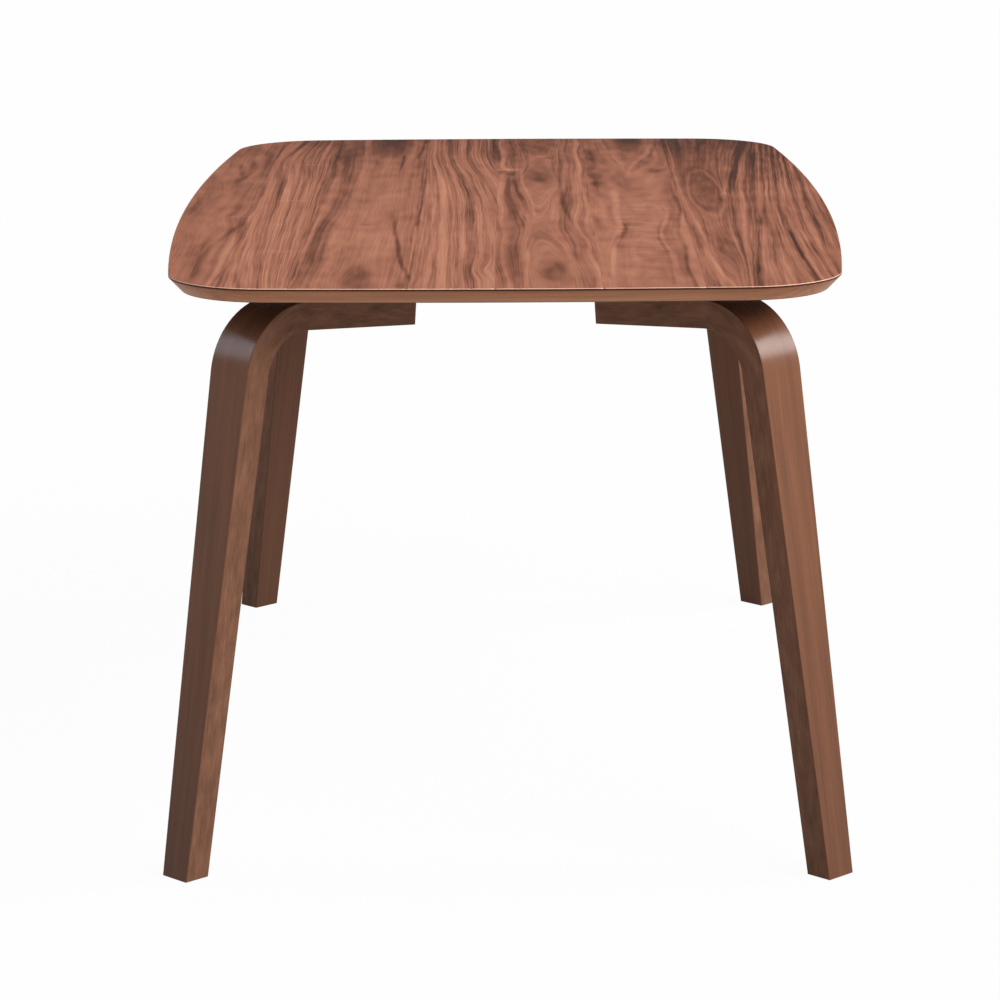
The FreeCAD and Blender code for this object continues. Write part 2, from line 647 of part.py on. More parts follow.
def make_block_screws():
    """Pan-head screws from the bores in the blocks up into the top."""
    seat = value("Worked.Underside - Sizes.ScrewSeat")
    top = value("Worked.CoreBottom + Sizes.ScrewBite - Sizes.ScrewPlay")
    screw = cylinder(value("Sizes.ScrewHead"), seat - value("Sizes.ScrewHeadHeight"), seat)
    screw = screw.fuse(cylinder(value("Sizes.ScrewDiameter"), seat, top))
    spots = [Vector(value(along), value(across), 0) for along, across in screw_places()]
    places = [corner_placement(corner) * Placement(spot, Rotation())
              for corner in CORNERS for spot in spots]
    spread("block_screws", screw, places)


def make_glide_screws():
    """One screw up through each glide into the foot."""
    seat = value("Sizes.GlideHeadSink")
    top = value("Sizes.GlideThickness + Sizes.GlideScrewLength - Sizes.ScrewPlay")
    screw = cylinder(value("Sizes.GlideScrewHead"), seat - value("Sizes.GlideHeadHeight"), seat)
    screw = screw.fuse(cylinder(value("Sizes.GlideScrewDiameter"), seat, top))
    spot = Vector(value("Worked.FootMiddle"), 0, 0)
    places = [corner_placement(corner) * Placement(spot, Rotation()) for corner in CORNERS]
    spread("glide_screws", screw, places)


make_core()
make_backing()
for leaf in range(1, len(JOINT_SHARES) + 2):
    make_leaf(leaf)
make_lipping("edge_lipping_back", True, 0)
make_lipping("edge_lipping_front", True, 180)
make_lipping("edge_lipping_right", False, 0)
make_lipping("edge_lipping_left", False, 180)
for corner in CORNERS:
    make_leg(corner)
    make_block(corner)
    make_glide(corner)
make_bolts()
make_block_screws()
make_glide_screws()
doc.recompute()

for item in doc.Objects:
    if "Invalid" in item.State or "Error" in item.State:
        raise RuntimeError(f"{item.Label} failed: {item.State}")
for name, node in nodes.items():
    if node.Shape.isNull() or not node.Shape.isValid():
        raise RuntimeError(f"{name} has no valid shape")

os.makedirs("parts", exist_ok=True)
for name, node in nodes.items():
    node.Shape.exportStep(f"parts/{name}.step")
    box = node.Shape.BoundBox
    print(f"{name}: {len(node.Shape.Solids)} solids, {node.Shape.Volume / 1000:.1f} cm3, "
          f"x {box.XMin:.1f} to {box.XMax:.1f}, y {box.YMin:.1f} to {box.YMax:.1f}, "
          f"z {box.ZMin:.1f} to {box.ZMax:.1f}")
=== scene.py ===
# %% [markdown]
# # A dining table with a bowed walnut top on four bent legs
#
# The table is a flat veneered panel whose four edges bow outwards, standing on four legs that are
# each bent in one piece from laminated plywood: up from the floor, round a bend, and in under the
# top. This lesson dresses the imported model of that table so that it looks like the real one.
# The model comes first, and stays where it is: everything here is built around it, in metres.

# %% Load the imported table
import math

import bmesh
import bpy
import numpy as np
from mathutils import Matrix, Vector, geometry, noise


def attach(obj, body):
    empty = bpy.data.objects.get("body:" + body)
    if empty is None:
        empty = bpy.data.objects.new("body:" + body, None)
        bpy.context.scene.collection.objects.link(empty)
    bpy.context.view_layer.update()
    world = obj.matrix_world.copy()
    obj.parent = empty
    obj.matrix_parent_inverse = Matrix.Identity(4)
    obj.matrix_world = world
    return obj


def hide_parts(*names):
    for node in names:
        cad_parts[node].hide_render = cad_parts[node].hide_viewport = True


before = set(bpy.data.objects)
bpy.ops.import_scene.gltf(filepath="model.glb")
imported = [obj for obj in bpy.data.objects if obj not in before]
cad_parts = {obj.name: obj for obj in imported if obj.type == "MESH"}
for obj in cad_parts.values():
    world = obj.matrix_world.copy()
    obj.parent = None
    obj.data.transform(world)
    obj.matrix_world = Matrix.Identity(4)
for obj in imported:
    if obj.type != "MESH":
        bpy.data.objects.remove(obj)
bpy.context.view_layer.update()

MM = 0.001
print("pieces in the packed table:", len(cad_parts))

# %% [markdown]
# ## Helpers for every finish
#
# Colours are written as a colour picker shows them, in sRGB hex, and shaders want linear light, so
# one function turns the one into the other. A second adds a node, sets what is given by name, and
# links what is given as a node or a socket. So each setting stays next to the node it belongs to.

# %% Colours and nodes
def linear(code):
    """A hex colour such as "#a06958" as linear red, green, blue and an alpha of one."""
    parts = [int(code[i:i + 2], 16) / 255 for i in (1, 3, 5)]
    bright = [c / 12.92 if c <= 0.04045 else ((c + 0.055) / 1.055) ** 2.4 for c in parts]
    return (*bright, 1.0)


def add(tree, kind, links=(), stops=(), **settings):
    """One node, its inputs by number or name, its colours as (place, hex), and its settings."""
    made = tree.nodes.new("ShaderNode" + kind)
    for name, value in settings.items():
        setattr(made, name, value)
    for _ in stops[2:]:
        made.color_ramp.elements.new(1.0)
    for number, (place, code) in enumerate(stops):
        element = made.color_ramp.elements[number]
        element.position, element.color = place, linear(code)
    for place, value in dict(links).items():
        if isinstance(value, bpy.types.Node):
            value = value.outputs[0]
        if isinstance(value, bpy.types.NodeSocket):
            tree.links.new(value, made.inputs[place])
        else:
            made.inputs[place].default_value = value
    return made


def finish_named(name):
    """An empty material, the tree that its nodes go in, and the place in the table."""
    material = bpy.data.materials.new(name)
    material.use_nodes = True
    tree = material.node_tree
    tree.nodes.clear()
    return material, tree, add(tree, "TexCoord").outputs["Object"]


def close(tree, relief, depth, strength, shader):
    """Ends a finish: its relief with a depth in mm, its shader, and the material's output."""
    bump = add(tree, "Bump", {"Height": relief, "Distance": depth * MM, "Strength": strength})
    made = add(tree, "BsdfPrincipled", {**shader, "Normal": bump})
    add(tree, "OutputMaterial", {0: made})


def place_in(name, data):
    """An object of that name in the scene."""
    made = bpy.data.objects.new(name, data)
    bpy.context.scene.collection.objects.link(made)
    return made


print("mid walnut in linear light:", [round(v, 3) for v in linear("#a06958")[:3]])

# %% [markdown]
# ## The outline of the top
#
# Seen from above, each edge is a shallow bow and each corner is a round one that runs into both
# bows without a kink. A bow is an arc of a very large circle, so the whole outline is made of
# arcs, and a line drawn a little inside it is the same arcs with smaller radii. That is why every
# point below is kept with its outward direction: moving it in along that direction is enough.

# %% Arcs of the outline
TOP_LENGTH, TOP_WIDTH, TOP_HEIGHT = 1500.0, 900.0, 760.0
END_BOW, SIDE_BOW, CORNER_RADIUS = 16.5, 41.0, 130.0
SIDE_STEP, CORNER_STEP, END_STEP = 12.0, 4.0, 6.0


def bow_radius(width, bow):
    """The radius of the arc that rises by bow over half of width."""
    return ((width / 2) ** 2 + bow ** 2) / (2 * bow)


end_radius = bow_radius(TOP_WIDTH, END_BOW)
side_radius = bow_radius(TOP_LENGTH, SIDE_BOW)
end_centre = np.array([0.0, TOP_LENGTH / 2 - end_radius])
side_centre = np.array([TOP_WIDTH / 2 - side_radius, 0.0])


def corner_centre():
    """Where the corner's circle touches both bows from inside: two circles cross there."""
    reach_end, reach_side = end_radius - CORNER_RADIUS, side_radius - CORNER_RADIUS
    between = side_centre - end_centre
    apart = np.hypot(*between)
    along = (reach_end ** 2 - reach_side ** 2 + apart ** 2) / (2 * apart)
    aside = math.sqrt(reach_end ** 2 - along ** 2)
    line = between / apart
    return end_centre + along * line + aside * np.array([line[1], -line[0]])


corner = corner_centre()
if corner[0] < 0 or corner[1] < 0:
    raise ValueError("the corner's circle is on the wrong side")
side_turn = math.atan2(corner[1] - side_centre[1], corner[0] - side_centre[0])
end_turn = math.atan2(corner[1] - end_centre[1], corner[0] - end_centre[0])
print("end and side radius, mm:", round(end_radius), round(side_radius))
print("middle of a corner's circle, mm:", corner.round(1))


# %% Points round the outline
def arc(centre, radius, start, stop, step):
    """Rows of x, y and the outward direction, evenly spaced, without the last point."""
    count = max(2, round(abs(stop - start) * radius / step))
    turns = np.linspace(start, stop, count, endpoint=False)
    away = np.stack([np.cos(turns), np.sin(turns)], axis=1)
    return np.hstack([centre + radius * away, away])


quarter = np.vstack([
    arc(side_centre, side_radius, 0.0, side_turn, SIDE_STEP),
    arc(corner, CORNER_RADIUS, side_turn, end_turn, CORNER_STEP),
    arc(end_centre, end_radius, end_turn, math.pi / 2, END_STEP),
    [[0.0, TOP_LENGTH / 2, 0.0, 1.0]],
])
FLIP_X, FLIP_Y = np.array([-1, 1, -1, 1]), np.array([1, -1, 1, -1])
back_left = (quarter * FLIP_X)[::-1][1:]
front_left = (quarter * FLIP_X * FLIP_Y)[1:]
front_right = (quarter * FLIP_Y)[::-1][1:-1]
outline = np.vstack([quarter, back_left, front_left, front_right])
print("points round the outline:", len(outline))


# %% How far in a point lies, and where the edge is
def inside_by(x, y):
    """How far points lie inside the outline, in mm: below zero is outside."""
    x, y = np.abs(x), np.abs(y)
    to_side = side_radius - np.hypot(x - side_centre[0], y)
    to_end = end_radius - np.hypot(x, y - end_centre[1])
    turn = np.arctan2(y - corner[1], x - corner[0])
    in_corner = (turn > side_turn) & (turn < end_turn)
    to_corner = CORNER_RADIUS - np.hypot(x - corner[0], y - corner[1])
    return np.where(in_corner, to_corner, np.minimum(to_side, to_end))


def edge_at(x, inset):
    """How far from the middle the end of the top is, at x, for an outline moved in by inset."""
    x = abs(x)
    if x <= (end_radius - inset) * math.cos(end_turn):
        return end_centre[1] + math.sqrt((end_radius - inset) ** 2 - x ** 2)
    return corner[1] + math.sqrt((CORNER_RADIUS - inset) ** 2 - (x - corner[0]) ** 2)


print("the end of the top at its middle and at a corner, mm:",
      [round(edge_at(x, 0.0), 1) for x in (0.0, corner[0])])

# %% [markdown]
# ## Where the grain of the veneer comes from
#
# Veneer is sliced from a log, so its grain is a map of growth rings: a slice near the heart gives
# pointed arches and eyes, and one further out gives nearly straight lines. Noise alone never looks
# like that. Here each of the seven leaves has guides, lines that run along the leaf with a ring
# number in mm each, and the rings between two guides are spaced evenly. Where the heart of the log
# lies close under the slice, its depth bends the rings into arches: a ring is the distance to it.
# Over the rings come single veins, soft clouds, swirls, and dark hearts that push the rings aside,
# and in quiet places the lines are weaker. Each is listed one by one, and noise draws what is
# between them. All sizes are in mm, and the seven stations run from the back of the table to the
# front.

# %% The seven leaves
# Each leaf: guides as (x at the seven stations, ring), the depth of a heart close under the slice,
# and rings as (ring, half its width, strength), where a strength below zero is a pale ring.
JOINTS = (-355.5, -265.5, -122.4, -12.6, 119.7, 245.7)
STATIONS = (750, 500, 250, 0, -250, -500, -750)


def straight(x):
    """A line that stays at x from the first station to the last."""
    return (x,) * len(STATIONS)


# back in each leaf is how strongly the painted shade darkens it towards the back
LEAVES = (
    dict(guides=(((-470, -480, -486, -488, -486, -480, -470), 0),
                 (straight(-352), 110)),
         rings=((30, 5, .2), (52, 4, .2), (75, 4, .2), (88, 3, -.2), (95, 5, .3), (107, 3, .4)),
         tone=.37, back=.3, lines=.4, warp=10.0, blotch=.12),
    dict(guides=((straight(-358), 0),
                 ((-318, -340, -331, -325, -322, -315, -302), 30),
                 (straight(-264), 92)),
         rings=((4, 4, .4), (14, 4, -.25), (30, 4, .65), (42, 6, -.3), (52, 2.5, .35),
                (57, 2, -.2), (63, 2, .25), (71, 2.5, .35), (76, 2, -.25), (80, 2, .25),
                (88, 3, .4)),
         tone=.31, back=1.1, lines=1.1, warp=1.5, blotch=.06),
    dict(guides=((straight(-266), 0),
                 ((-247, -240, -242, -243, -250, -256, -262), 20),
                 ((-228, -222, -224, -226, -236, -238, -240), 38),
                 ((-190, -185, -186, -188, -192, -196, -196), 66),
                 ((-150, -152, -150, -148, -148, -150, -152), 100),
                 (straight(-121), 128)),
         rings=((4, 3.5, .7), (11, 2.5, -.15), (24, 11, .6), (20, 2, .35), (29, 2, .4),
                (38, 3, .4), (46, 5, -.25), (58, 3, .15), (92, 4, .15), (108, 3, .3),
                (118, 3, .35), (126, 2.5, .6)),
         tone=.29, back=1.0, lines=.5, warp=4.0, blotch=.12),
    dict(guides=((straight(-122), 0),
                 ((-116, -111, -96, -87, -83, -80, -78), 30),
                 ((-92, -86, -65, -52, -47, -45, -42), 66),
                 ((-62, -58, -33, -14, -4, 2, 6), 100),
                 ((-11, -6, 14, 32, 42, 48, 52), 140)),
         rings=((3, 2, .4), (12, 2.5, .3), (18, 2, -.2), (23, 3, .35), (31, 5, -.65), (38, 2, .35),
                (43, 2, -.2), (48, 3, .4), (56, 4, -.35), (66, 6, .8), (75, 3, -.3), (81, 3, .3),
                (88, 3, -.2), (100, 4, .5), (110, 4, -.15), (124, 4, .3)),
         tone=.29, back=1.0, lines=1.0, warp=2.0, blotch=.08),
    dict(guides=(((50, 52, 48, 47, 47, 55, 60), 0),), depth=(10, 18, 5, 20, 30, 12, 10),
         rings=((0, 12, .2), (21, 4, -.1), (27, 5, .15), (36, 5, -.15), (45, 7, .6),
                (58, 4, -.4), (64, 3, .35)), tone=.31, back=1.1, lines=.7, warp=8.0, blotch=.12),
    dict(guides=(((191, 190, 189, 190, 188, 188, 188), 0),), depth=(4, 16, 50, 66, 68, 66, 66),
         rings=((29, 3, -.1), (36, 3, .25), (43, 3, -.1), (50, 3, .15), (78, 5, .3), (86, 3, -.2)),
         tone=.29, back=1.1, lines=.28, warp=13.0, blotch=.14),
    dict(guides=((straight(244), 0),
                 ((255, 253, 252, 254, 262, 272, 285), 12),
                 ((380, 355, 334, 320, 311, 303, 297), 60),
                 ((396, 381, 364, 351, 340, 323, 311), 80),
                 ((420, 411, 397, 386, 380, 382, 387), 115),
                 ((436, 426, 417, 409, 403, 404, 409), 135),
                 ((450, 442, 434, 427, 423, 420, 418), 150),
                 (straight(480), 186)),
         rings=((3, 3, .2), (11, 1.6, -.45), (18, 3, .2), (25, 3, -.15), (53, 3, -.4), (60, 5, .6),
                (68, 3.5, -.5), (73, 2, .5), (80, 4.5, .55), (87, 3, -.45), (94, 2.5, .5),
                (99, 2, -.2), (104, 2, .3), (109, 2, -.3), (115, 3.5, .85), (122, 2, -.35),
                (127, 2, .5), (130, 1.5, -.3), (135, 2.5, .8), (142, 2, -.3), (149, 2.5, .7),
                (154, 2, -.3), (158, 2, .5), (166, 3, .6), (174, 2, .5)),
         tone=.36, back=1.9, lines=.95, warp=2.0, blotch=.09),
)
print("leaves:", len(LEAVES), " dark and pale rings:", sum(len(leaf["rings"]) for leaf in LEAVES))

# %% Single veins: (points as x, y), half the width, strength
VEINS = (
    (((-152, -190), (-150, -240), (-142, -361), (-134, -528), (-121, -650)), 3.2, .95),
    (((-20, 750), (-19, 640), (-16, 540), (-14, 500)), 7, 1),
    (((-362, -205), (-378, -330), (-390, -500), (-388, -640)), 5, .5),
    (((-387, 450), (-384, 306), (-392, 260)), 6, .5),
    (((-404, 430), (-396, 340), (-388, 290)), 4.5, .5),
    (((-436, 300), (-430, 90), (-440, -70)), 6, .4),
    (((-364, 640), (-363, 300), (-362, 20)), 4, .25),
    (((-128, 717), (-131, 620), (-136, 528)), 3, .8),
    (((-159, 520), (-160, 420)), 2.5, .8),
    (((-338, -640), (-326, -740)), 5, .6),
    (((-120, 250), (-119, 0), (-121, -190)), 2.5, .5),
    (((-62, -560), (-50, -500), (-36, -470), (-20, -480)), 3, .3),
    (((11, 300), (20, 120), (26, -60), (22, -200)), 3, .55),
    (((16, 240), (9, 0), (4, -300), (2, -560), (2, -740)), 12, .38),
    (((22, 340), (34, 60), (40, -100)), 2.5, -.5),
    (((37, -340), (28, -460), (27, -720)), 2.5, -.5),
    (((79, 260), (85, -60), (96, -360), (112, -560)), 3, .15),
    (((156, 120), (151, -240), (142, -420), (135, -620)), 5, -.75),
    (((148, -330), (136, -460), (130, -640)), 2, .5),
    (((160, -230), (154, -310)), 4, .5),
    (((240, 60), (236, -250), (232, -500), (232, -740)), 3, .6),
    (((374, 680), (350, 439), (337, 283), (325, 128)), 6, .65),
    (((384, 540), (366, 260), (353, 40)), 5, .45),
    (((366, 620), (342, 400), (316, 110)), 2.5, -.5),
    (((350, -150), (338, -300), (325, -480), (314, -730)), 3.5, .3),
    (((381, -300), (382, -480), (386, -690)), 2.8, .9),
    (((426, 100), (420, -60), (424, -220)), 2.5, .7),
    (((318, -600), (311, -735)), 7, .4),
    (((-361, -330), (-362, -720)), 4, -.5),
    (((-258, -30), (-259, -220), (-262, -420)), 2, -.6),
    (((108, 720), (110, 300), (113, -200)), 2.5, -.5),
    (((83, 690), (82, 400), (79, 200), (83, -50), (95, -250), (104, -400)), 3, .45),
    (((228, 660), (214, 540), (196, 430), (184, 330)), 3, -.4),
    (((150, 740), (154, 600), (165, 480), (176, 400)), 3, -.4),
    (((236, 640), (222, 530), (204, 420)), 2.5, .4),
    (((212, -180), (206, -330), (209, -480), (206, -700)), 2.5, .4),
    (((222, -60), (216, -200), (211, -330), (215, -560)), 3, -.4),
    (((268, -260), (272, -460), (276, -720)), 3, .3),
    (((262, -200), (268, -420), (268, -700)), 3.5, -.45),
)
print("single veins:", len(VEINS))

# %% Soft clouds: x, y, half the width, half the length, strength
CLOUDS = (
    (-230, -560, 30, 180, .25), (-165, 620, 12, 110, .4), (130, 520, 8, 120, .8),
    (134, 220, 9, 60, .8), (128, -170, 8, 40, .7), (170, 340, 7, 22, .5), (224, 345, 9, 26, .7),
    (180, 500, 6, 30, .4), (300, -380, 26, 160, .4), (290, 640, 40, 90, .3),
    (50, 272, 15, 55, .3), (26, 620, 11, 130, .5), (-400, 180, 30, 200, .18),
    (-255, 470, 13, 240, .45), (-215, -320, 22, 380, .25), (167, 190, 20, 110, .4),
    (128, 330, 8, 260, .35), (66, -640, 20, 120, .45), (-130, -705, 9, 60, .7),
    (285, 230, 32, 330, .3), (-300, 700, 40, 50, .3), (-400, -420, 14, 90, .3),
    (345, -190, 7, 40, .6),
    (306, 25, 5, 30, .4), (-302, 39, 24, 6, -.6), (-297, 436, 22, 8, -.4),
    (-311, -194, 10, 6, -.4), (-290, -440, 26, 9, -.3), (2, 368, 16, 9, -1.1),
    (2, 320, 9, 26, .9), (59, 520, 9, 7, -.8), (61, 502, 8, 7, .6), (156, 22, 15, 6, -.5),
    (209, -100, 12, 6, -.3), (-192, -200, 6, 7, .6), (-192, -224, 10, 6, -.4),
    (-372, -118, 17, 9, -.45), (-386, -140, 7, 22, -.35), (314, 92, 4, 10, -.8),
    (-98, 60, 7, 260, -.3), (-6, 0, 5, 400, -.4),
)
print("soft clouds:", len(CLOUDS))

# %% Dark hearts, quiet places and swirls
# All three are ovals: x, y, half the width and half the length. A heart adds how dark its middle
# and its outline are, a quiet place how much weaker the lines are, a swirl how far it pushes.
HEARTS = (
    (-183, 705, 34, 215, 1.25, .3), (-184, -710, 23, 160, 1.1, .1), (191, 740, 24, 170, 1.2, .3),
    (59, -600, 20, 105, .7, 0), (284, -510, 19, 230, .3, 0), (287, 105, 23, 215, .5, 1),
    (49, 272, 20, 80, .35, 0),
)
QUIET = (
    (284, 330, 30, 420, .65), (-178, 80, 44, 480, .4), (4, -200, 15, 420, .5),
    (-400, 0, 40, 600, .3), (55, -600, 28, 210, .55), (49, 272, 24, 150, .45),
    (190, 250, 46, 260, .5),
)
SWIRLS = (
    (3, 345, 14, 40, 10), (61, 512, 8, 18, 5), (-192, -200, 9, 24, 5), (-30, -610, 22, 70, 6),
    (-380, -130, 24, 70, 12), (168, 370, 12, 40, 8), (228, 350, 12, 40, 8), (157, -272, 6, 30, 5),
)
print("hearts:", len(HEARTS), " quiet places:", len(QUIET), " swirls:", len(SWIRLS))


# %% Curves, soft ovals and lines
def smooth_through(values, place):
    """The values at the stations joined by one smooth curve, read at a place from 0 to 1."""
    knots = np.array([2 * values[0] - values[1], *values, 2 * values[-1] - values[-2]], float)
    turn = np.clip(place, 0, 1) * (len(values) - 1)
    k = np.minimum(turn.astype(int), len(values) - 2)
    f = turn - k
    a, b, c, d = (knots[k + i] for i in range(4))
    return b + 0.5 * f * (c - a + f * (2 * a - 5 * b + 4 * c - d + f * (3 * (b - c) + d - a)))


def drift(x, y, wide, long, seed):
    """Soft noise at points, with lumps as wide and as long as given, from -1 to 1."""
    return np.array([noise.noise((a / wide, b / long, seed)) for a, b in zip(x, y)])


def bump_at(x, y, middle_x, middle_y, half_width, half_length):
    """One at the middle of a soft oval, falling to nothing round it."""
    return np.exp(-((x - middle_x) / half_width) ** 2 - ((y - middle_y) / half_length) ** 2)


def band_at(value, middle, half_width):
    """One where a value equals the middle, falling to nothing on both sides."""
    return np.exp(-((value - middle) / half_width) ** 2)


VEIN_FADE = 30


def vein_at(x, y, points, width):
    """One on a line through the points, falling to nothing beside it and past its ends."""
    places = sorted(points, key=lambda point: point[1])
    line = np.interp(y, [p[1] for p in places], [p[0] for p in places])
    past = np.maximum(np.maximum(places[0][1] - y, y - places[-1][1]), 0)
    return np.exp(-np.abs((x - line) / width) ** 3 - (past / VEIN_FADE) ** 2)


def between_guides(x, guides, place):
    """The ring number at x, counted evenly from each guide to the next."""
    lines = [smooth_through(line, place) for line, _ in guides]
    if len(guides) == 1:
        return x - lines[0]
    ring = np.full(len(x), float(guides[0][1]))
    for (low, high), (first, last) in zip(zip(lines, lines[1:]), zip(guides, guides[1:])):
        ring += np.clip((x - low) / (high - low), 0, 1) * (last[1] - first[1])
    return ring


print("a curve through 0, 1 and 0, a quarter along:", smooth_through((0, 1, 0), 0.25))

# %% Where the grain wanders, and how it goes round a heart
# The lumps of each noise are given by their width and length in mm.
SLOW_WANDER, QUICK_WANDER, QUICK_BY = (45, 200), (16, 60), 1.4
MARKS_FOLLOW = 0.6      # veins, clouds and hearts wander with the grain, but less
RAGGED, RAGGED_BY = (14, 60, 5.5), 0.10
HEART_PULL, HEART_CALM = 0.85, 0.6


def wander_of(index, x, y):
    """How far the grain wanders sideways, in mm: slowly by the leaf's own warp, and quickly."""
    quick = QUICK_BY * drift(x, y, *QUICK_WANDER, index + 0.5)
    return LEAVES[index]["warp"] * drift(x, y, *SLOW_WANDER, index) + quick


def bend_round_hearts(x, y, wander):
    """Places across with the rings pulled into each heart, how calm it is there, and the sizes."""
    across, calm, sizes = x + wander, 1.0, []
    for middle_x, middle_y, half_width, half_length, *_ in HEARTS:
        size = np.hypot((x + MARKS_FOLLOW * wander - middle_x) / half_width,
                        (y - middle_y) / half_length)
        sizes.append(size + RAGGED_BY * drift(x, y, *RAGGED))
        inside = np.exp(-size ** 3)
        across = across + (middle_x - across) * HEART_PULL * inside
        calm = calm * (1 - HEART_CALM * inside)
    return across, calm, sizes


print("half widths of the hearts, mm:", [heart[2] for heart in HEARTS])

# %% How dark the leaf is, and what is drawn over it
FULL_STRENGTH = 0.36    # what a ring, a vein or a cloud of strength one adds
# painted shade: the top is drawn darker towards the back, more on leaves with a larger back
SHADE_TOWARDS_BACK = 0.035
BACK_STARTS, BACK_REACH, BACK_SHADE = -150, 900, 0.19
BIG_BLOTCH, SMALL_BLOTCH, SMALL_BY = (38, 230), (17, 55), 0.8
MOTTLE, RING_PATCH = (10, 50, 3.3), (60, 190)
HEART_SOFT, HEART_DARK = 0.85, 0.25
HEART_RIM = ((0.86, 0.13, 0.13), (1.08, 0.07, -0.06), (1.25, 0.13, 0.08))
FLAME, FLAME_RIPPLE, FLAME_DARK = (188, -240, 48, 330), (34, 13, 7.7), 0.20
RINGS_FULL_FROM, FEWEST_LINES = 30, 0.4


def tone_of(index, x, y):
    """The leaf's tone with soft blotches, and a painted shade that darkens it towards the back."""
    leaf = LEAVES[index]
    tone = leaf["tone"] + SHADE_TOWARDS_BACK * y / STATIONS[0]
    tone += leaf["back"] * BACK_SHADE * np.clip((y - BACK_STARTS) / BACK_REACH, 0, 1) ** 2
    small = SMALL_BY * drift(x, y, *SMALL_BLOTCH, index + 4)
    return tone + leaf["blotch"] * (drift(x, y, *BIG_BLOTCH, index + 9) + small)


def drawn_over(x, y, bent, sizes):
    """What veins, clouds, hearts and the flame add to the darkness."""
    mottle = 0.75 + 0.8 * drift(x, y, *MOTTLE)
    more = np.zeros(len(x))
    for points, width, strength in VEINS:
        more += FULL_STRENGTH * strength * (0.55 + 0.45 * mottle) * vein_at(bent, y, points, width)
    for *oval, strength in CLOUDS:
        more += FULL_STRENGTH * strength * mottle * bump_at(bent, y, *oval)
    for size, (*_, middle, rim) in zip(sizes, HEARTS):
        more += middle * HEART_DARK * np.exp(-(size / HEART_SOFT) ** 4)
        more += rim * sum(dark * band_at(size, place, width) for place, width, dark in HEART_RIM)
    flame = bump_at(x, y, *FLAME) * drift(x, y, *FLAME_RIPPLE)
    return more + FLAME_DARK * flame * (x > JOINTS[4]) * (x < JOINTS[5])


print("tone of each leaf in its middle:",
      [round(float(tone_of(i, np.zeros(1), np.zeros(1))[0]), 2) for i in range(len(LEAVES))])


# %% The grain at each point of a leaf
def grain_of(index, x, y):
    """The ring in mm, the darkness and the strength of the lines at the points of one leaf."""
    leaf = LEAVES[index]
    place = (STATIONS[0] - y) / (STATIONS[0] - STATIONS[-1])
    wander = wander_of(index, x, y)
    across, calm, sizes = bend_round_hearts(x, y, wander)
    ring = between_guides(across, leaf["guides"], place)
    if "depth" in leaf:
        ring = np.hypot(ring, smooth_through(leaf["depth"], place))
    ring += sum(push * bump_at(x, y, *oval) for *oval, push in SWIRLS)
    dark = tone_of(index, x, y)
    for radius, width, strength in leaf["rings"]:
        fade = 0.85 + 0.6 * drift(x, y, *RING_PATCH, radius + index)
        dark += FULL_STRENGTH * strength * fade * band_at(ring, radius, width)
    dark += drawn_over(x, y, x + MARKS_FOLLOW * wander, sizes)
    lines = leaf["lines"] * calm
    for *oval, strength in QUIET:
        lines = lines * (1 - strength * bump_at(x, y, *oval))
    if "depth" in leaf:
        lines = lines * np.clip(ring / RINGS_FULL_FROM, FEWEST_LINES, 1)
    return ring, dark, lines


middle_of_leaf_4 = grain_of(3, np.array([-60.0]), np.array([0.0]))
print("ring, darkness and lines in the middle of leaf 4:", *(v.round(2) for v in middle_of_leaf_4))

# %% [markdown]
# ## Building a leaf of veneer
#
# A leaf is a thin sheet, 1.2 mm thick, cut straight where it meets its neighbour and curved where
# it ends at the rim. There the maker breaks the sharp corner with sandpaper, and that narrow round
# arris is what catches the light along the whole edge. A box with a bevel can't follow the curved
# outline, so the top face is filled from points: the rim, the joints, and a fine grid between
# them. The fine grid also carries the ring and the darkness, point by point. The rim is then
# rolled over in steps, and the underside is one flat face.

# %% The curved parts of a leaf's edge
VENEER, ARRIS = 1.2, 0.9
KEEP_CLEAR = 1.6


def rim_run(start, stop):
    """The outline's points, in order round the table, that lie between two joints."""
    low = -math.inf if start is None else start + KEEP_CLEAR
    high = math.inf if stop is None else stop - KEEP_CLEAR
    kept = [tuple(p) for p in outline if low < p[0] < high]
    return [p for p in kept if p[1] < 0], [p for p in kept if p[1] >= 0]


def rim_points(run, inset):
    """A run moved in by inset. A point on a joint is a pair (x, side) and slides along it."""
    moved = []
    for p in run:
        if len(p) == 2:
            moved.append((p[0], p[1] * edge_at(p[0], inset)))
        else:
            moved.append((p[0] - p[2] * inset, p[1] - p[3] * inset))
    return moved


def leaf_runs(left, right):
    """The curved parts of a leaf's edge, going round it against the clock."""
    front, back = rim_run(left, right)
    if left is None:
        return [[(right, 1), *sorted(front + back, key=lambda p: -p[1]), (right, -1)]]
    if right is None:
        return [[(left, -1), *sorted(front + back, key=lambda p: p[1]), (left, 1)]]
    front.sort(key=lambda p: p[0])
    back.sort(key=lambda p: -p[0])
    return [[(left, -1), *front, (right, -1)], [(right, 1), *back, (left, 1)]]


print("curved parts of leaves 1 and 2:", len(leaf_runs(None, JOINTS[0])),
      len(leaf_runs(JOINTS[0], JOINTS[1])))

# %% The points along a joint and inside a leaf
GRID_ACROSS, GRID_ALONG = 1.7, 8.0
ALONG = np.arange(-TOP_LENGTH / 2, TOP_LENGTH / 2, GRID_ALONG) + GRID_ALONG / 2


def joint_rows(x):
    """Places along a joint, from front to back, that leave out its two ends."""
    reach = edge_at(x, ARRIS) - KEEP_CLEAR
    return [(x, y) for y in ALONG if abs(y) < reach]


def grid_inside(left, right):
    """The grid of points inside a leaf, clear of its edges."""
    low = -TOP_WIDTH / 2 if left is None else left
    high = TOP_WIDTH / 2 if right is None else right
    count = round((high - low) / GRID_ACROSS)
    across = np.linspace(low, high, count + 1)[1:-1]
    x, y = (a.ravel() for a in np.meshgrid(across, ALONG))
    clear = inside_by(x, y) > ARRIS + KEEP_CLEAR
    return list(zip(x[clear], y[clear]))


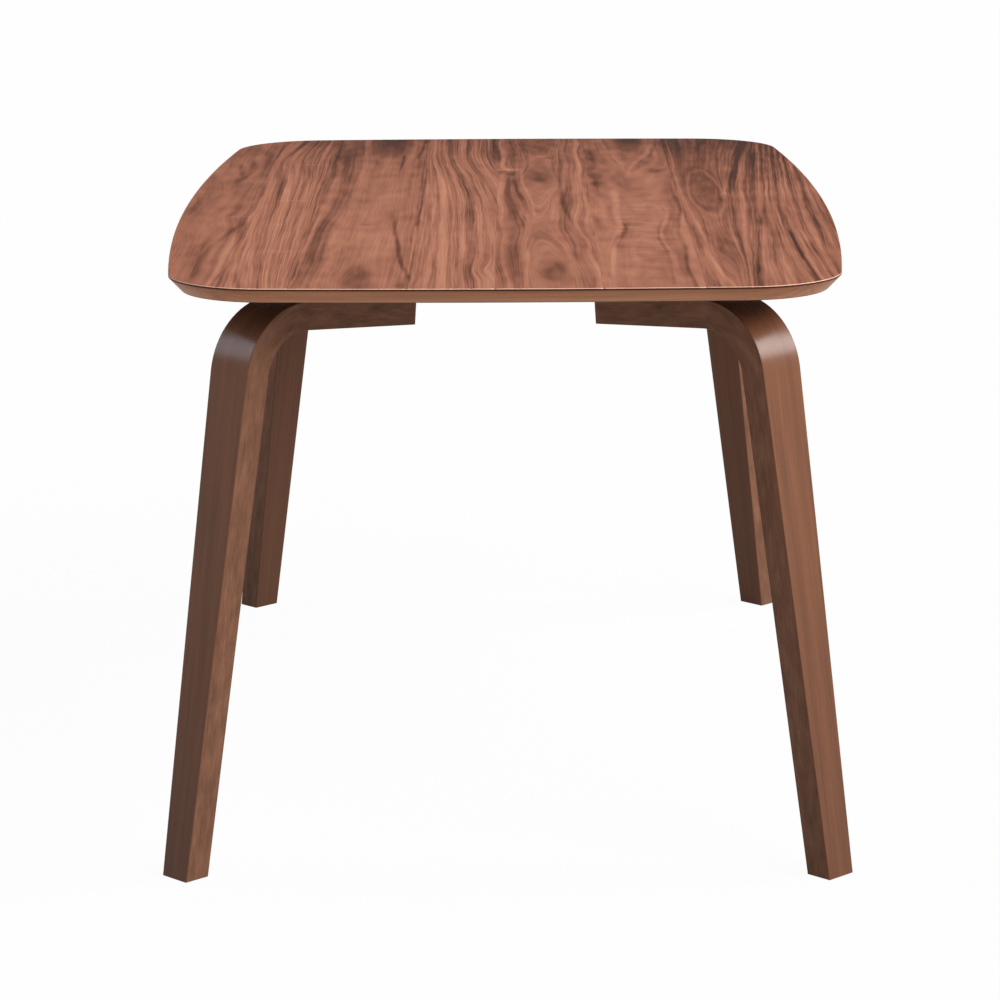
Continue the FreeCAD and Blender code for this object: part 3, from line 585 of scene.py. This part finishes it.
print("points along a joint:", len(joint_rows(JOINTS[0])))

# %% The mesh of a leaf
ROLL_STEPS = 4
CDT_FILL, CDT_CLOSE = 1, 1e-6    # fill the inside of the border, and join points closer than this


def roll_levels():
    """How far in and how far down each ring of the rolled rim lies, in mm."""
    turns = [math.radians(90 * step / ROLL_STEPS) for step in range(1, ROLL_STEPS + 1)]
    rolled = [(ARRIS * (1 - math.sin(a)), ARRIS * (1 - math.cos(a))) for a in turns]
    return [*rolled, (0.0, VENEER)]


def roll_rim(mesh, run, above):
    """Rolls one curved part of the rim over and down, and gives its columns of points."""
    columns = [[v] for v in above]
    for inset, down in roll_levels():
        height = TOP_HEIGHT * MM - down * MM
        ring = [mesh.verts.new((x * MM, y * MM, height)) for x, y in rim_points(run, inset)]
        for i in range(len(ring) - 1):
            mesh.faces.new((above[i], above[i + 1], ring[i + 1], ring[i])).smooth = True
        for column, v in zip(columns, ring):
            column.append(v)
        above = ring
    return columns


def leaf_mesh(left, right):
    """The closed mesh of the leaf between two joints, where None is no joint."""
    runs = leaf_runs(left, right)
    border, spans = [], []
    for run in runs:
        first = len(border)
        border += rim_points(run, ARRIS)
        spans.append((first, len(border)))
        rows = joint_rows(run[-1][0])
        border += rows if run[-1][1] < 0 else rows[::-1]
    points = [Vector(p) for p in border + grid_inside(left, right)]
    flat = geometry.delaunay_2d_cdt(points, [], [list(range(len(border)))], CDT_FILL, CDT_CLOSE)
    found = {old: new for new, olds in enumerate(flat[3]) for old in olds}
    mesh = bmesh.new()
    verts = [mesh.verts.new((p[0] * MM, p[1] * MM, TOP_HEIGHT * MM)) for p in flat[0]]
    for face in flat[2]:
        mesh.faces.new([verts[i] for i in face])
    rolled = [roll_rim(mesh, run, [verts[found[i]] for i in range(*span)])
              for run, span in zip(runs, spans)]
    for number, columns in enumerate(rolled):
        following = (number + 1) % len(runs)
        joint = range(spans[number][1], spans[following][0] or len(border))
        mesh.faces.new([*columns[-1][::-1], *(verts[found[i]] for i in joint),
                        *rolled[following][0]])
    mesh.faces.new([column[-1] for columns in rolled for column in columns][::-1])
    bmesh.ops.recalc_face_normals(mesh, faces=mesh.faces)
    return mesh


print("rings of the rolled rim, in and down, mm:",
      [(round(inset, 2), round(down, 2)) for inset, down in roll_levels()])

# %% Seven leaves, each with its grain
RING_APART = 400            # keeps the lines of one leaf from running on in the next
# the painted highlight on the arris fades in over this length towards the ends, weaker on the
# sides
HIGHLIGHT_FADE_TO_END = 80.0
LEAST_HIGHLIGHT = 0.2


def painted_arris_highlight(y, z):
    """Painted highlight on the rolled arris: one at the two ends, and less along the sides."""
    on_arris = (z < TOP_HEIGHT - 0.01 * ARRIS) & (z > TOP_HEIGHT - 0.9 * ARRIS)
    at_end = np.clip((np.abs(y) - corner[1]) / HIGHLIGHT_FADE_TO_END, 0, 1)
    return on_arris * (LEAST_HIGHLIGHT + (1 - LEAST_HIGHLIGHT) * at_end)


def lay_leaf(index):
    """Makes one leaf, writes its grain on its points, and puts it in the CAD leaf's place."""
    name = f"top_veneer_leaf_{index + 1}"
    made = leaf_mesh(*(None, *JOINTS, None)[index:index + 2])
    data = bpy.data.meshes.new(f"walnut_leaf_{index + 1}")
    made.to_mesh(data)
    made.free()
    places = np.zeros(len(data.vertices) * 3)
    data.vertices.foreach_get("co", places)
    x, y, z = places.reshape(-1, 3).T / MM
    ring, dark, lines = grain_of(index, x, y)
    for title, values in (("ring", ring + RING_APART * index), ("dark", dark), ("lines", lines),
                          ("edge", painted_arris_highlight(y, z))):
        layer = data.attributes.new(title, "FLOAT", "POINT")
        layer.data.foreach_set("value", values.astype(np.float32))
    leaf = place_in(f"walnut_leaf_{index + 1}", data)
    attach(leaf, "root")
    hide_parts(name)
    return leaf


leaves = [lay_leaf(i) for i in range(len(LEAVES))]
print("points in the leaves:", [len(leaf.data.vertices) for leaf in leaves])

# %% [markdown]
# ## Walnut veneer under a satin oil
#
# American walnut, sliced, glued down, sanded fine and oiled. The eye sees three scales at once:
# broad bands that come from the rings above, lines a few millimetres apart inside those bands, and
# pores and fibres that are finer than a millimetre and several centimetres long. The bands are on
# the mesh, so this finish only adds the finer scales, laid along the same rings so that they
# follow the same arches. Oil leaves the pores open, so the sheen is soft and broken. On the rolled
# arris a pale line is painted as a highlight, strongest at the two ends and fainter on the sides.

# %% Patterns that run along the grain
def weighed(tree, *parts):
    """A sum of sockets, each times its weight."""
    total = 0.0
    for value, weight in parts:
        total = add(tree, "Math", {0: value, 1: weight, 2: total}, operation="MULTIPLY_ADD")
    return total


def noise_at(tree, place, lumps, detail=2.0, rough=0.5):
    """Noise from about -0.5 to 0.5, with lumps of the size given in each direction."""
    scaled = add(tree, "VectorMath", {0: place, 1: lumps}, operation="DIVIDE")
    made = add(tree, "TexNoise", {"Vector": scaled, "Scale": 1.0, "Detail": detail,
                                  "Roughness": rough})
    return add(tree, "Math", {0: made, 1: 0.5}, operation="SUBTRACT")


PORES_REACH = 0.3


def gloss_of(tree, pores, low, high):
    """Roughness that goes from low to high with the pores."""
    return add(tree, "MapRange", {0: pores, 1: -PORES_REACH, 2: PORES_REACH, 3: low, 4: high})


print("pores are read from", -PORES_REACH, "to", PORES_REACH)

# %% The finish of the face veneer
# Walnut's pores are about 0.2 mm wide, too fine to show here, so they are drawn 0.9 mm wide.
PORE_WIDE, PORE_DEEP = 0.9, 0.03
BROAD_LINES, FINE_LINES, PORES = (7.0, 420.0, 1.0), (2.2, 260.0, 1.0), (PORE_WIDE, 55.0, 1.0)
OIL_SHINE = 0.005       # the room is white all round, and oil in open pores hardly mirrors it
WALNUT_COLOURS = ((0.0, "#bd8165"), (0.20, "#ad7259"), (0.36, "#9a624c"), (0.60, "#6f4230"),
                  (0.85, "#41241b"))
# the colour of the painted highlight on the arris
ARRIS_HIGHLIGHT = "#ecc0ac"


def walnut_veneer():
    """Oiled walnut veneer: satin, with dark lines that follow the rings."""
    material, tree, place = finish_named("Walnut veneer, sanded and oiled satin")
    ring, dark, lines, edge = (add(tree, "Attribute", attribute_name=title).outputs["Fac"]
                               for title in ("ring", "dark", "lines", "edge"))
    along = add(tree, "SeparateXYZ", {0: place}).outputs[1]
    run = add(tree, "Math", {0: along, 1: 1 / MM}, operation="MULTIPLY")
    grain = add(tree, "CombineXYZ", {0: ring, 1: run})
    broad = noise_at(tree, grain, BROAD_LINES)
    fine = noise_at(tree, grain, FINE_LINES, 3.0)
    pores = noise_at(tree, grain, PORES, 2.0, 0.7)
    shade = weighed(tree, (broad, 0.48), (fine, 0.95))
    shade = add(tree, "Math", {0: shade, 1: lines}, operation="MULTIPLY")
    shade = weighed(tree, (shade, 1.0), (pores, 0.16), (dark, 1.0))
    wood = add(tree, "ValToRGB", {0: shade}, WALNUT_COLOURS)
    # the pale line on the arris is a painted highlight, laid over the wood by the edge attribute
    dressed = add(tree, "Mix", {0: edge, 6: wood, 7: linear(ARRIS_HIGHLIGHT)}, data_type="RGBA")
    close(tree, weighed(tree, (pores, 1.0), (fine, 0.3)), PORE_DEEP, 0.6,
          {"Base Color": dressed.outputs[2], "Roughness": gloss_of(tree, pores, 0.44, 0.56),
           "Specular IOR Level": OIL_SHINE})
    return material


veneer = walnut_veneer()
for leaf in leaves:
    leaf.data.materials.append(veneer)
print("nodes in the veneer's finish:", len(veneer.node_tree.nodes))

# %% [markdown]
# ## Grain for solid and laminated wood
#
# The lippings, the blocks and the legs are wood that runs straight along the piece. Their grain is
# a block of lines much longer than they are wide, so all that a piece needs is to know which way
# is along, which is across and which is deep. One function draws any of them from those three
# sizes in mm, with its own colours and strengths, and each piece gives it its own directions.

# %% A pattern of straight grain
BROAD_LONGER = 1.5


def straight_wood(tree, place, colours, wide=9.0, fine=2.4, long=190.0, pore=40.0, contrast=1.0):
    """Colour and pores of wood, from a place given as along, across and deep in mm."""
    broad = noise_at(tree, place, (long * BROAD_LONGER, wide, wide))
    lines = noise_at(tree, place, (long, fine, fine), 3.0)
    pores = noise_at(tree, place, (pore, PORE_WIDE, PORE_WIDE), 2.0, 0.7)
    shade = weighed(tree, (broad, 0.8 * contrast), (lines, 0.6 * contrast),
                    (pores, 0.45 * contrast))
    shade = add(tree, "Math", {0: shade, 1: 0.5}, operation="ADD")
    return add(tree, "ValToRGB", {0: shade}, colours), pores


print("broad lines are longer than fine ones, times:", BROAD_LONGER)

# %% A whole wood finish, and where it is worn
ROUGHER_IN_PORES = 0.12


def wood_finish(name, place_of, colours, rough, shine, tint=None, **grain):
    """A whole wood material: place_of turns a place into along, across and deep."""
    material, tree, place = finish_named(name)
    colour, pores = straight_wood(tree, place_of(tree, place), colours, **grain)
    if tint:
        colour = tint(tree, place, colour)
    gloss = gloss_of(tree, pores, rough, rough + ROUGHER_IN_PORES)
    close(tree, pores, PORE_DEEP, 0.5,
          {"Base Color": colour, "Roughness": gloss, "Specular IOR Level": shine})
    return material


def wear(finish, *starts):
    """Puts a finish on every CAD piece whose name starts as given, and counts them."""
    dressed = [o for name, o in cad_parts.items() if name.startswith(starts)]
    for o in dressed:
        o.data.materials[0] = finish
    return len(dressed)


def run_along(axis):
    """Along, across and deep for wood that runs along x or y, in mm."""
    def place_of(tree, place):
        x, y, z = add(tree, "SeparateXYZ", {0: place}).outputs
        order = (x, y, z) if axis == "x" else (y, x, z)
        turned = add(tree, "CombineXYZ", dict(enumerate(order)))
        return add(tree, "VectorMath", {0: turned, "Scale": 1 / MM}, operation="SCALE")
    return place_of


def tinted_by_height(tree, place, colour, low, high, stops):
    """A colour times a ramp that runs up the table, from low to high in mm."""
    height = add(tree, "SeparateXYZ", {0: place}).outputs[2]
    share = add(tree, "MapRange", {0: height, 1: low * MM, 2: high * MM})
    tint = add(tree, "ValToRGB", {0: share}, stops)
    return add(tree, "Mix", {0: 1.0, 6: colour, 7: tint}, data_type="RGBA",
               blend_type="MULTIPLY").outputs[2]


print("pieces that still wait for a finish:", len(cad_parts) - len(LEAVES))

# %% [markdown]
# ## The lippings
#
# Four strips of solid walnut close the edge of the panel, two along the sides and two at the ends,
# with a narrow upright land at the top and a long bevel under it, so that the top looks thinner
# than it is. The imported lippings have that shape, so they stay, and only get their finish. Solid
# walnut is a little lighter and redder on the bevel, which was planed and oiled like the top. Its
# colour darkens with height: a painted shade up the bevel, and the land drawn nearly black. It is
# drawn by height, so one finish covers land and bevel without a seam between them.

# %% Solid walnut for the lippings
LOW_EDGE, LAND = 740.0, 757.3
LIPPING_COLOURS = ((0.10, "#c68a69"), (0.5, "#b37b5c"), (0.85, "#8a5b44"))


def darker_to_land(tree, place, colour):
    """Darker towards the top: painted shade up the bevel, and the land drawn nearly black."""
    land = (LAND - LOW_EDGE) / (TOP_HEIGHT - LOW_EDGE)
    return tinted_by_height(tree, place, colour, LOW_EDGE, TOP_HEIGHT,
                            ((0.0, "#ffffff"), (land - 0.08, "#dcd8d4"),
                             (land - 0.02, "#c0b4aa"), (land + 0.01, "#5a483f")))


for axis, starts in (("x", ("edge_lipping_front", "edge_lipping_back")),
                     ("y", ("edge_lipping_left", "edge_lipping_right"))):
    lipping = wood_finish(f"Solid walnut along {axis}, planed and oiled", run_along(axis),
                          LIPPING_COLOURS, rough=0.42, shine=0.10, tint=darker_to_land,
                          contrast=0.8)
    print("lippings along", axis, ":", wear(lipping, *starts))

# %% [markdown]
# ## Grain that goes round the bend
#
# A leg is a stack of thin veneers, glued in a mould. The grain runs up the leg, round the bend and
# along the arm, and never straight through it, so its pattern needs a measure that bends with the
# leg. The four legs are mirror images, so the place is first folded into one quarter, and turned
# until the leg lies in a plane. In that plane the bend is part of a circle: below it the measure
# runs up the leg, in it round the circle, and beyond it along the arm.

# %% Along, across and deep in a bent leg
FOOT_X, FOOT_Y = 423.0, 728.0
LEG_SPLAY, ARM_FALL = math.radians(9.65), math.radians(4.9)
BEND_RADIUS = 98.0
KNEE_R, KNEE_Z = -123.8, 728.2
TURN = math.pi / 2 + ARM_FALL - LEG_SPLAY
LEG_APART = (370.0, 811.0, 0.0)     # moves the pattern, so that no two legs are alike

leg_way = np.array([-math.sin(LEG_SPLAY), math.cos(LEG_SPLAY)])
leg_out = np.array([math.cos(LEG_SPLAY), math.sin(LEG_SPLAY)])
bend_middle = (np.array([KNEE_R, KNEE_Z]) - BEND_RADIUS * math.tan(TURN / 2) * leg_way
               - BEND_RADIUS * leg_out)
print("middle of the bend, out and up in mm:", bend_middle.round(1))


# %% The measure itself
def diagonal(out, up):
    """A step out and up in the leg's plane, as one along x, y and z of the folded quarter."""
    return np.array([out * math.sqrt(0.5), out * math.sqrt(0.5), up])


ACROSS_LEG = (-math.sqrt(0.5), math.sqrt(0.5), 0.0)
bend_place = np.array([FOOT_X, FOOT_Y, 0.0]) + diagonal(*bend_middle)


def bent_place(tree, place):
    """Along, across and deep in a bent leg, in mm: deep counts from its outer face."""
    folded = add(tree, "VectorMath", {0: place}, operation="ABSOLUTE")
    spot = add(tree, "VectorMath", {0: folded, 1: (1 / MM,) * 3, 2: -bend_place},
               operation="MULTIPLY_ADD")
    rise, reach, side = (
        add(tree, "VectorMath", {0: spot, 1: way}, operation="DOT_PRODUCT").outputs[1]
        for way in (diagonal(*leg_way), diagonal(*leg_out), ACROSS_LEG))
    angle = add(tree, "Math", {0: rise, 1: reach}, operation="ARCTAN2")
    turned = add(tree, "Clamp", {0: angle, 1: 0.0, 2: TURN})
    spot = add(tree, "CombineXYZ", {0: reach, 1: rise})
    unrolled = add(tree, "VectorRotate", {"Vector": spot, "Angle": turned},
                   rotation_type="Z_AXIS", invert=True)
    distance, past, _ = add(tree, "SeparateXYZ", {0: unrolled}).outputs
    along = add(tree, "Math", {0: turned, 1: BEND_RADIUS, 2: past}, operation="MULTIPLY_ADD")
    deep = add(tree, "Math", {0: BEND_RADIUS, 1: distance}, operation="SUBTRACT")
    which = add(tree, "VectorMath", {0: place}, operation="SIGN")
    apart = add(tree, "VectorMath", {0: which, 1: LEG_APART}, operation="DOT_PRODUCT").outputs[1]
    across = add(tree, "Math", {0: side, 1: apart}, operation="ADD")
    return add(tree, "CombineXYZ", {0: along, 1: across, 2: deep})


print("middle of a bend, x, y and z in mm:", bend_place.round(1))

# %% [markdown]
# ## Stained legs
#
# The legs are beech plies under walnut veneer, stained dark brown all over and lacquered satin, so
# the edges of the plies don't show as lines: they are nearly the same brown, with the short flecks
# of beech. Three finishes share one pattern that follows the bend. The outer face has the thickest
# coat of lacquer, which shows as a band of light over the bend. The inner face has a thinner coat,
# and the edges of the beech plies stay a little lighter. All get a painted shade towards the
# floor.

# %% Stain and lacquer
# The flecks of beech are 1 to 3 mm long, too fine to show here, so they are drawn longer.
# the painted shade on the legs, darker towards the floor, ends at this height in mm
PAINTED_SHADE_TOP = 600.0
FACE_COLOURS = ((0.12, "#89583e"), (0.5, "#724933"), (0.88, "#513324"))
INSIDE_COLOURS = ((0.12, "#835a45"), (0.5, "#6f4b39"), (0.88, "#523729"))
SIDE_COLOURS = ((0.12, "#926750"), (0.5, "#7b5541"), (0.88, "#5b3c2d"))


def painted_shade_to_floor(tree, place, colour):
    """Painted shade: darker towards the floor, where the light on the legs falls off."""
    return tinted_by_height(tree, place, colour, 0.0, PAINTED_SHADE_TOP,
                            ((0.0, "#dedede"), (1.0, "#ffffff")))


leg_face = wood_finish("Walnut veneer, stained and lacquered satin", bent_place, FACE_COLOURS,
                       rough=0.20, shine=0.17, tint=painted_shade_to_floor,
                       wide=15.0, fine=3.0, long=150.0, pore=25.0, contrast=0.65)
leg_inside = wood_finish("Walnut veneer, stained, with a thinner coat", bent_place, INSIDE_COLOURS,
                         rough=0.40, shine=0.08, tint=painted_shade_to_floor,
                         wide=8.0, fine=2.0, long=240.0, contrast=0.45)
leg_side = wood_finish("Beech plies, stained and lacquered satin", bent_place, SIDE_COLOURS,
                       rough=0.36, shine=0.08, tint=painted_shade_to_floor,
                       wide=12.0, fine=1.7, long=26.0, pore=9.0, contrast=1.0)
print("outer and inner leg veneers:", wear(leg_face, "leg_outer_veneer"),
      wear(leg_inside, "leg_inner_veneer"))
print("leg cores:", wear(leg_side, "leg_core"))

# %% [markdown]
# ## What lies under the top
#
# Seen from below there is a plain balancing veneer, which keeps the panel flat, and four blocks
# that fill the wedge between the arms and the panel. The panel itself is fibreboard, and is closed
# in on all sides. These are seen less, so they get quieter finishes, at the same scale.

# %% Underside and blocks
backing = wood_finish("Plain walnut backing veneer, sanded", run_along("y"),
                      ((0.1, "#80695a"), (0.5, "#6e594c"), (0.9, "#57463b")),
                      rough=0.5, shine=0.2)
blocks = wood_finish("Beech block, stained", run_along("x"),
                     ((0.1, "#7d5a46"), (0.5, "#66473a"), (0.9, "#4e362c")),
                     rough=0.42, shine=0.25)
board = wood_finish("Fibreboard panel", run_along("y"),
                    ((0.1, "#b79a74"), (0.5, "#a98b66"), (0.9, "#97795a")),
                    rough=0.7, shine=0.2, wide=2.0, fine=1.2, long=4.0)
print("backing:", wear(backing, "top_backing_veneer"), "blocks:", wear(blocks, "mounting_block"),
      "board:", wear(board, "top_core"))

# %% [markdown]
# ## Metal and nylon
#
# The legs are held by zinc-plated bolts and washers that screw into brass inserts, and stand on
# nylon glides let into the feet. Zinc plate is bright but never even: a faint cloud in its shine
# tells it from chrome. Moulded nylon is nearly black and has a fine dull grain from its mould.

# %% Small parts
ROUGHER_IN_CLOUDS = 0.15
CLOUD_DEEP = 0.02


def small_finish(name, code, darker, metallic, rough, grain_mm):
    """A finish for a small part: a colour that clouds a little, and shine that clouds with it."""
    material, tree, place = finish_named(name)
    cloud = add(tree, "TexNoise", {"Vector": place, "Scale": 1 / (grain_mm * MM), "Detail": 3.0})
    colour = add(tree, "ValToRGB", {0: cloud}, ((0.35, code), (0.7, darker)))
    gloss = add(tree, "MapRange", {0: cloud, 3: rough, 4: rough + ROUGHER_IN_CLOUDS})
    close(tree, cloud, CLOUD_DEEP, 0.4, {"Base Color": colour, "Roughness": gloss,
                                         "Metallic": metallic})
    return material


zinc = small_finish("Zinc-plated steel", "#c9ccd0", "#aeb2b8", metallic=1.0, rough=0.28,
                    grain_mm=3.0)
brass = small_finish("Turned brass", "#cfae6b", "#b39150", metallic=1.0, rough=0.3, grain_mm=2.0)
nylon = small_finish("Moulded nylon", "#2a2522", "#201c1a", metallic=0.0, rough=0.5, grain_mm=0.6)
print("steel parts:", wear(zinc, "leg_bolt", "block_screws", "glide_screws"),
      "brass:", wear(brass, "threaded_inserts"), "nylon:", wear(nylon, "foot_glide"))

# %% [markdown]
# ## Floor, light and background
#
# A product photograph of furniture has large soft lamps, a lot of light that bounces around a pale
# room, and a background that is pure white. Here a broad lamp stands to the front right, and a
# narrower one at each side draws the band of light on the bends. The pale floor sends light back
# up under the top. The background is made white only for the camera and for reflections, so it
# does not add light to the wood, and the floor keeps a trace of the table's shadow.

# %% Floor
FLOOR_HALF = 40.0
WHITE_SHARE = 0.96      # the rest is paint, and keeps the shadow
PAINT_COLOURS = ((0, "#dadada"), (1, "#dddddd"))


def background_rays(tree):
    """One for what the camera sees straight, in a gloss or through glass, else nothing."""
    path = add(tree, "LightPath").outputs
    seen = add(tree, "Math", {0: path["Is Camera Ray"], 1: path["Is Glossy Ray"]}, operation="ADD")
    return add(tree, "Math", {0: seen, 1: path["Is Transmission Ray"]}, operation="ADD",
               use_clamp=True)


def studio_floor():
    """A wide pale floor, painted matt white."""
    data = bpy.data.meshes.new("studio_floor")
    half = FLOOR_HALF
    data.from_pydata([(-half, -half, 0), (half, -half, 0), (half, half, 0), (-half, half, 0)],
                     [], [(0, 1, 2, 3)])
    floor = place_in("studio_floor", data)
    material, tree, place = finish_named("Matt white studio paint")
    speck = add(tree, "TexNoise", {"Vector": place, "Scale": 3.0})
    colour = add(tree, "ValToRGB", {0: speck}, PAINT_COLOURS)
    paint = add(tree, "BsdfDiffuse", {0: colour})
    white = add(tree, "Emission", {0: (1, 1, 1, 1), 1: 1.0})
    share = add(tree, "Math", {0: background_rays(tree), 1: WHITE_SHARE}, operation="MULTIPLY")
    mixed = add(tree, "MixShader", {0: share, 1: paint, 2: white})
    add(tree, "OutputMaterial", {0: mixed})
    data.materials.append(material)


studio_floor()
print("floor, half its width in metres:", FLOOR_HALF)

# %% Lamps
LAMPS = {
    "key_lamp": dict(around=50, height=35, strength=2.6, across=42, code="#ffffff"),
    "right_strip_lamp": dict(around=97, height=29, strength=1.9, across=22, code="#ffffff"),
    "left_strip_lamp": dict(around=-99, height=28, strength=0.6, across=22, code="#e4eeff"),
}


def hang_lamp(name, around, height, strength, across, code):
    """A soft lamp, far off: its angles round the table and up, and its width, in degrees."""
    around, height = math.radians(around), math.radians(height)
    lamp = place_in(name, bpy.data.lights.new(name, "SUN"))
    lamp.data.energy, lamp.data.angle = strength, math.radians(across)
    lamp.data.color = linear(code)[:3]
    towards = Vector((math.sin(around) * math.cos(height), -math.cos(around) * math.cos(height),
                      math.sin(height)))
    lamp.rotation_euler = towards.to_track_quat("Z", "Y").to_euler()


for name, settings in LAMPS.items():
    hang_lamp(name, **settings)
print("lamps:", list(LAMPS))

# %% Room
ROOM_LIGHT = 0.2
room = bpy.data.worlds.new("pale_room")
bpy.context.scene.world = room
room.use_nodes = True
room.node_tree.nodes.clear()
dim = add(room.node_tree, "Background", {0: (1, 1, 1, 1), 1: ROOM_LIGHT})
bright = add(room.node_tree, "Background", {0: (1, 1, 1, 1), 1: 1.0})
both = add(room.node_tree, "MixShader", {0: background_rays(room.node_tree), 1: dim, 2: bright})
add(room.node_tree, "OutputWorld", {0: both})
print("light of the room beside its lamps:", ROOM_LIGHT)

# %% [markdown]
# ## The camera
#
# The photograph was taken from five metres in front of the table, a little above it, with a long
# lens, which keeps the far legs nearly as large as the near ones. The camera's place, its turn and
# its lens were found by fitting the corners, rims and feet of the table to the photograph.

# %% Camera
LENS, SENSOR, SEES_TO = 135.807, 36.0, 200
STAND = Vector((0.01281, -5.29462, 1.49808))
YAW, PITCH, ROLL = (math.radians(v) for v in (-0.2511, 12.4308, 0.3081))


def looking(yaw, pitch, roll):
    """The camera's turn: forward from yaw and pitch, then rolled about that."""
    forward = Vector((math.sin(yaw) * math.cos(pitch), math.cos(yaw) * math.cos(pitch),
                      -math.sin(pitch)))
    right = Vector((math.cos(yaw), -math.sin(yaw), 0))
    down = forward.cross(right)
    right, down = (right * math.cos(roll) + down * math.sin(roll),
                   down * math.cos(roll) - right * math.sin(roll))
    return Matrix((right, -down, -forward)).transposed()


camera = place_in("camera", bpy.data.cameras.new("camera"))
camera.data.lens, camera.data.sensor_width, camera.data.clip_end = LENS, SENSOR, SEES_TO
camera.matrix_world = Matrix.Translation(STAND) @ looking(YAW, PITCH, ROLL).to_4x4()
bpy.context.scene.camera = camera
bpy.context.scene.view_settings.view_transform = "Standard"
print("camera's distance from the middle of the table, m:", round(STAND.length, 2))
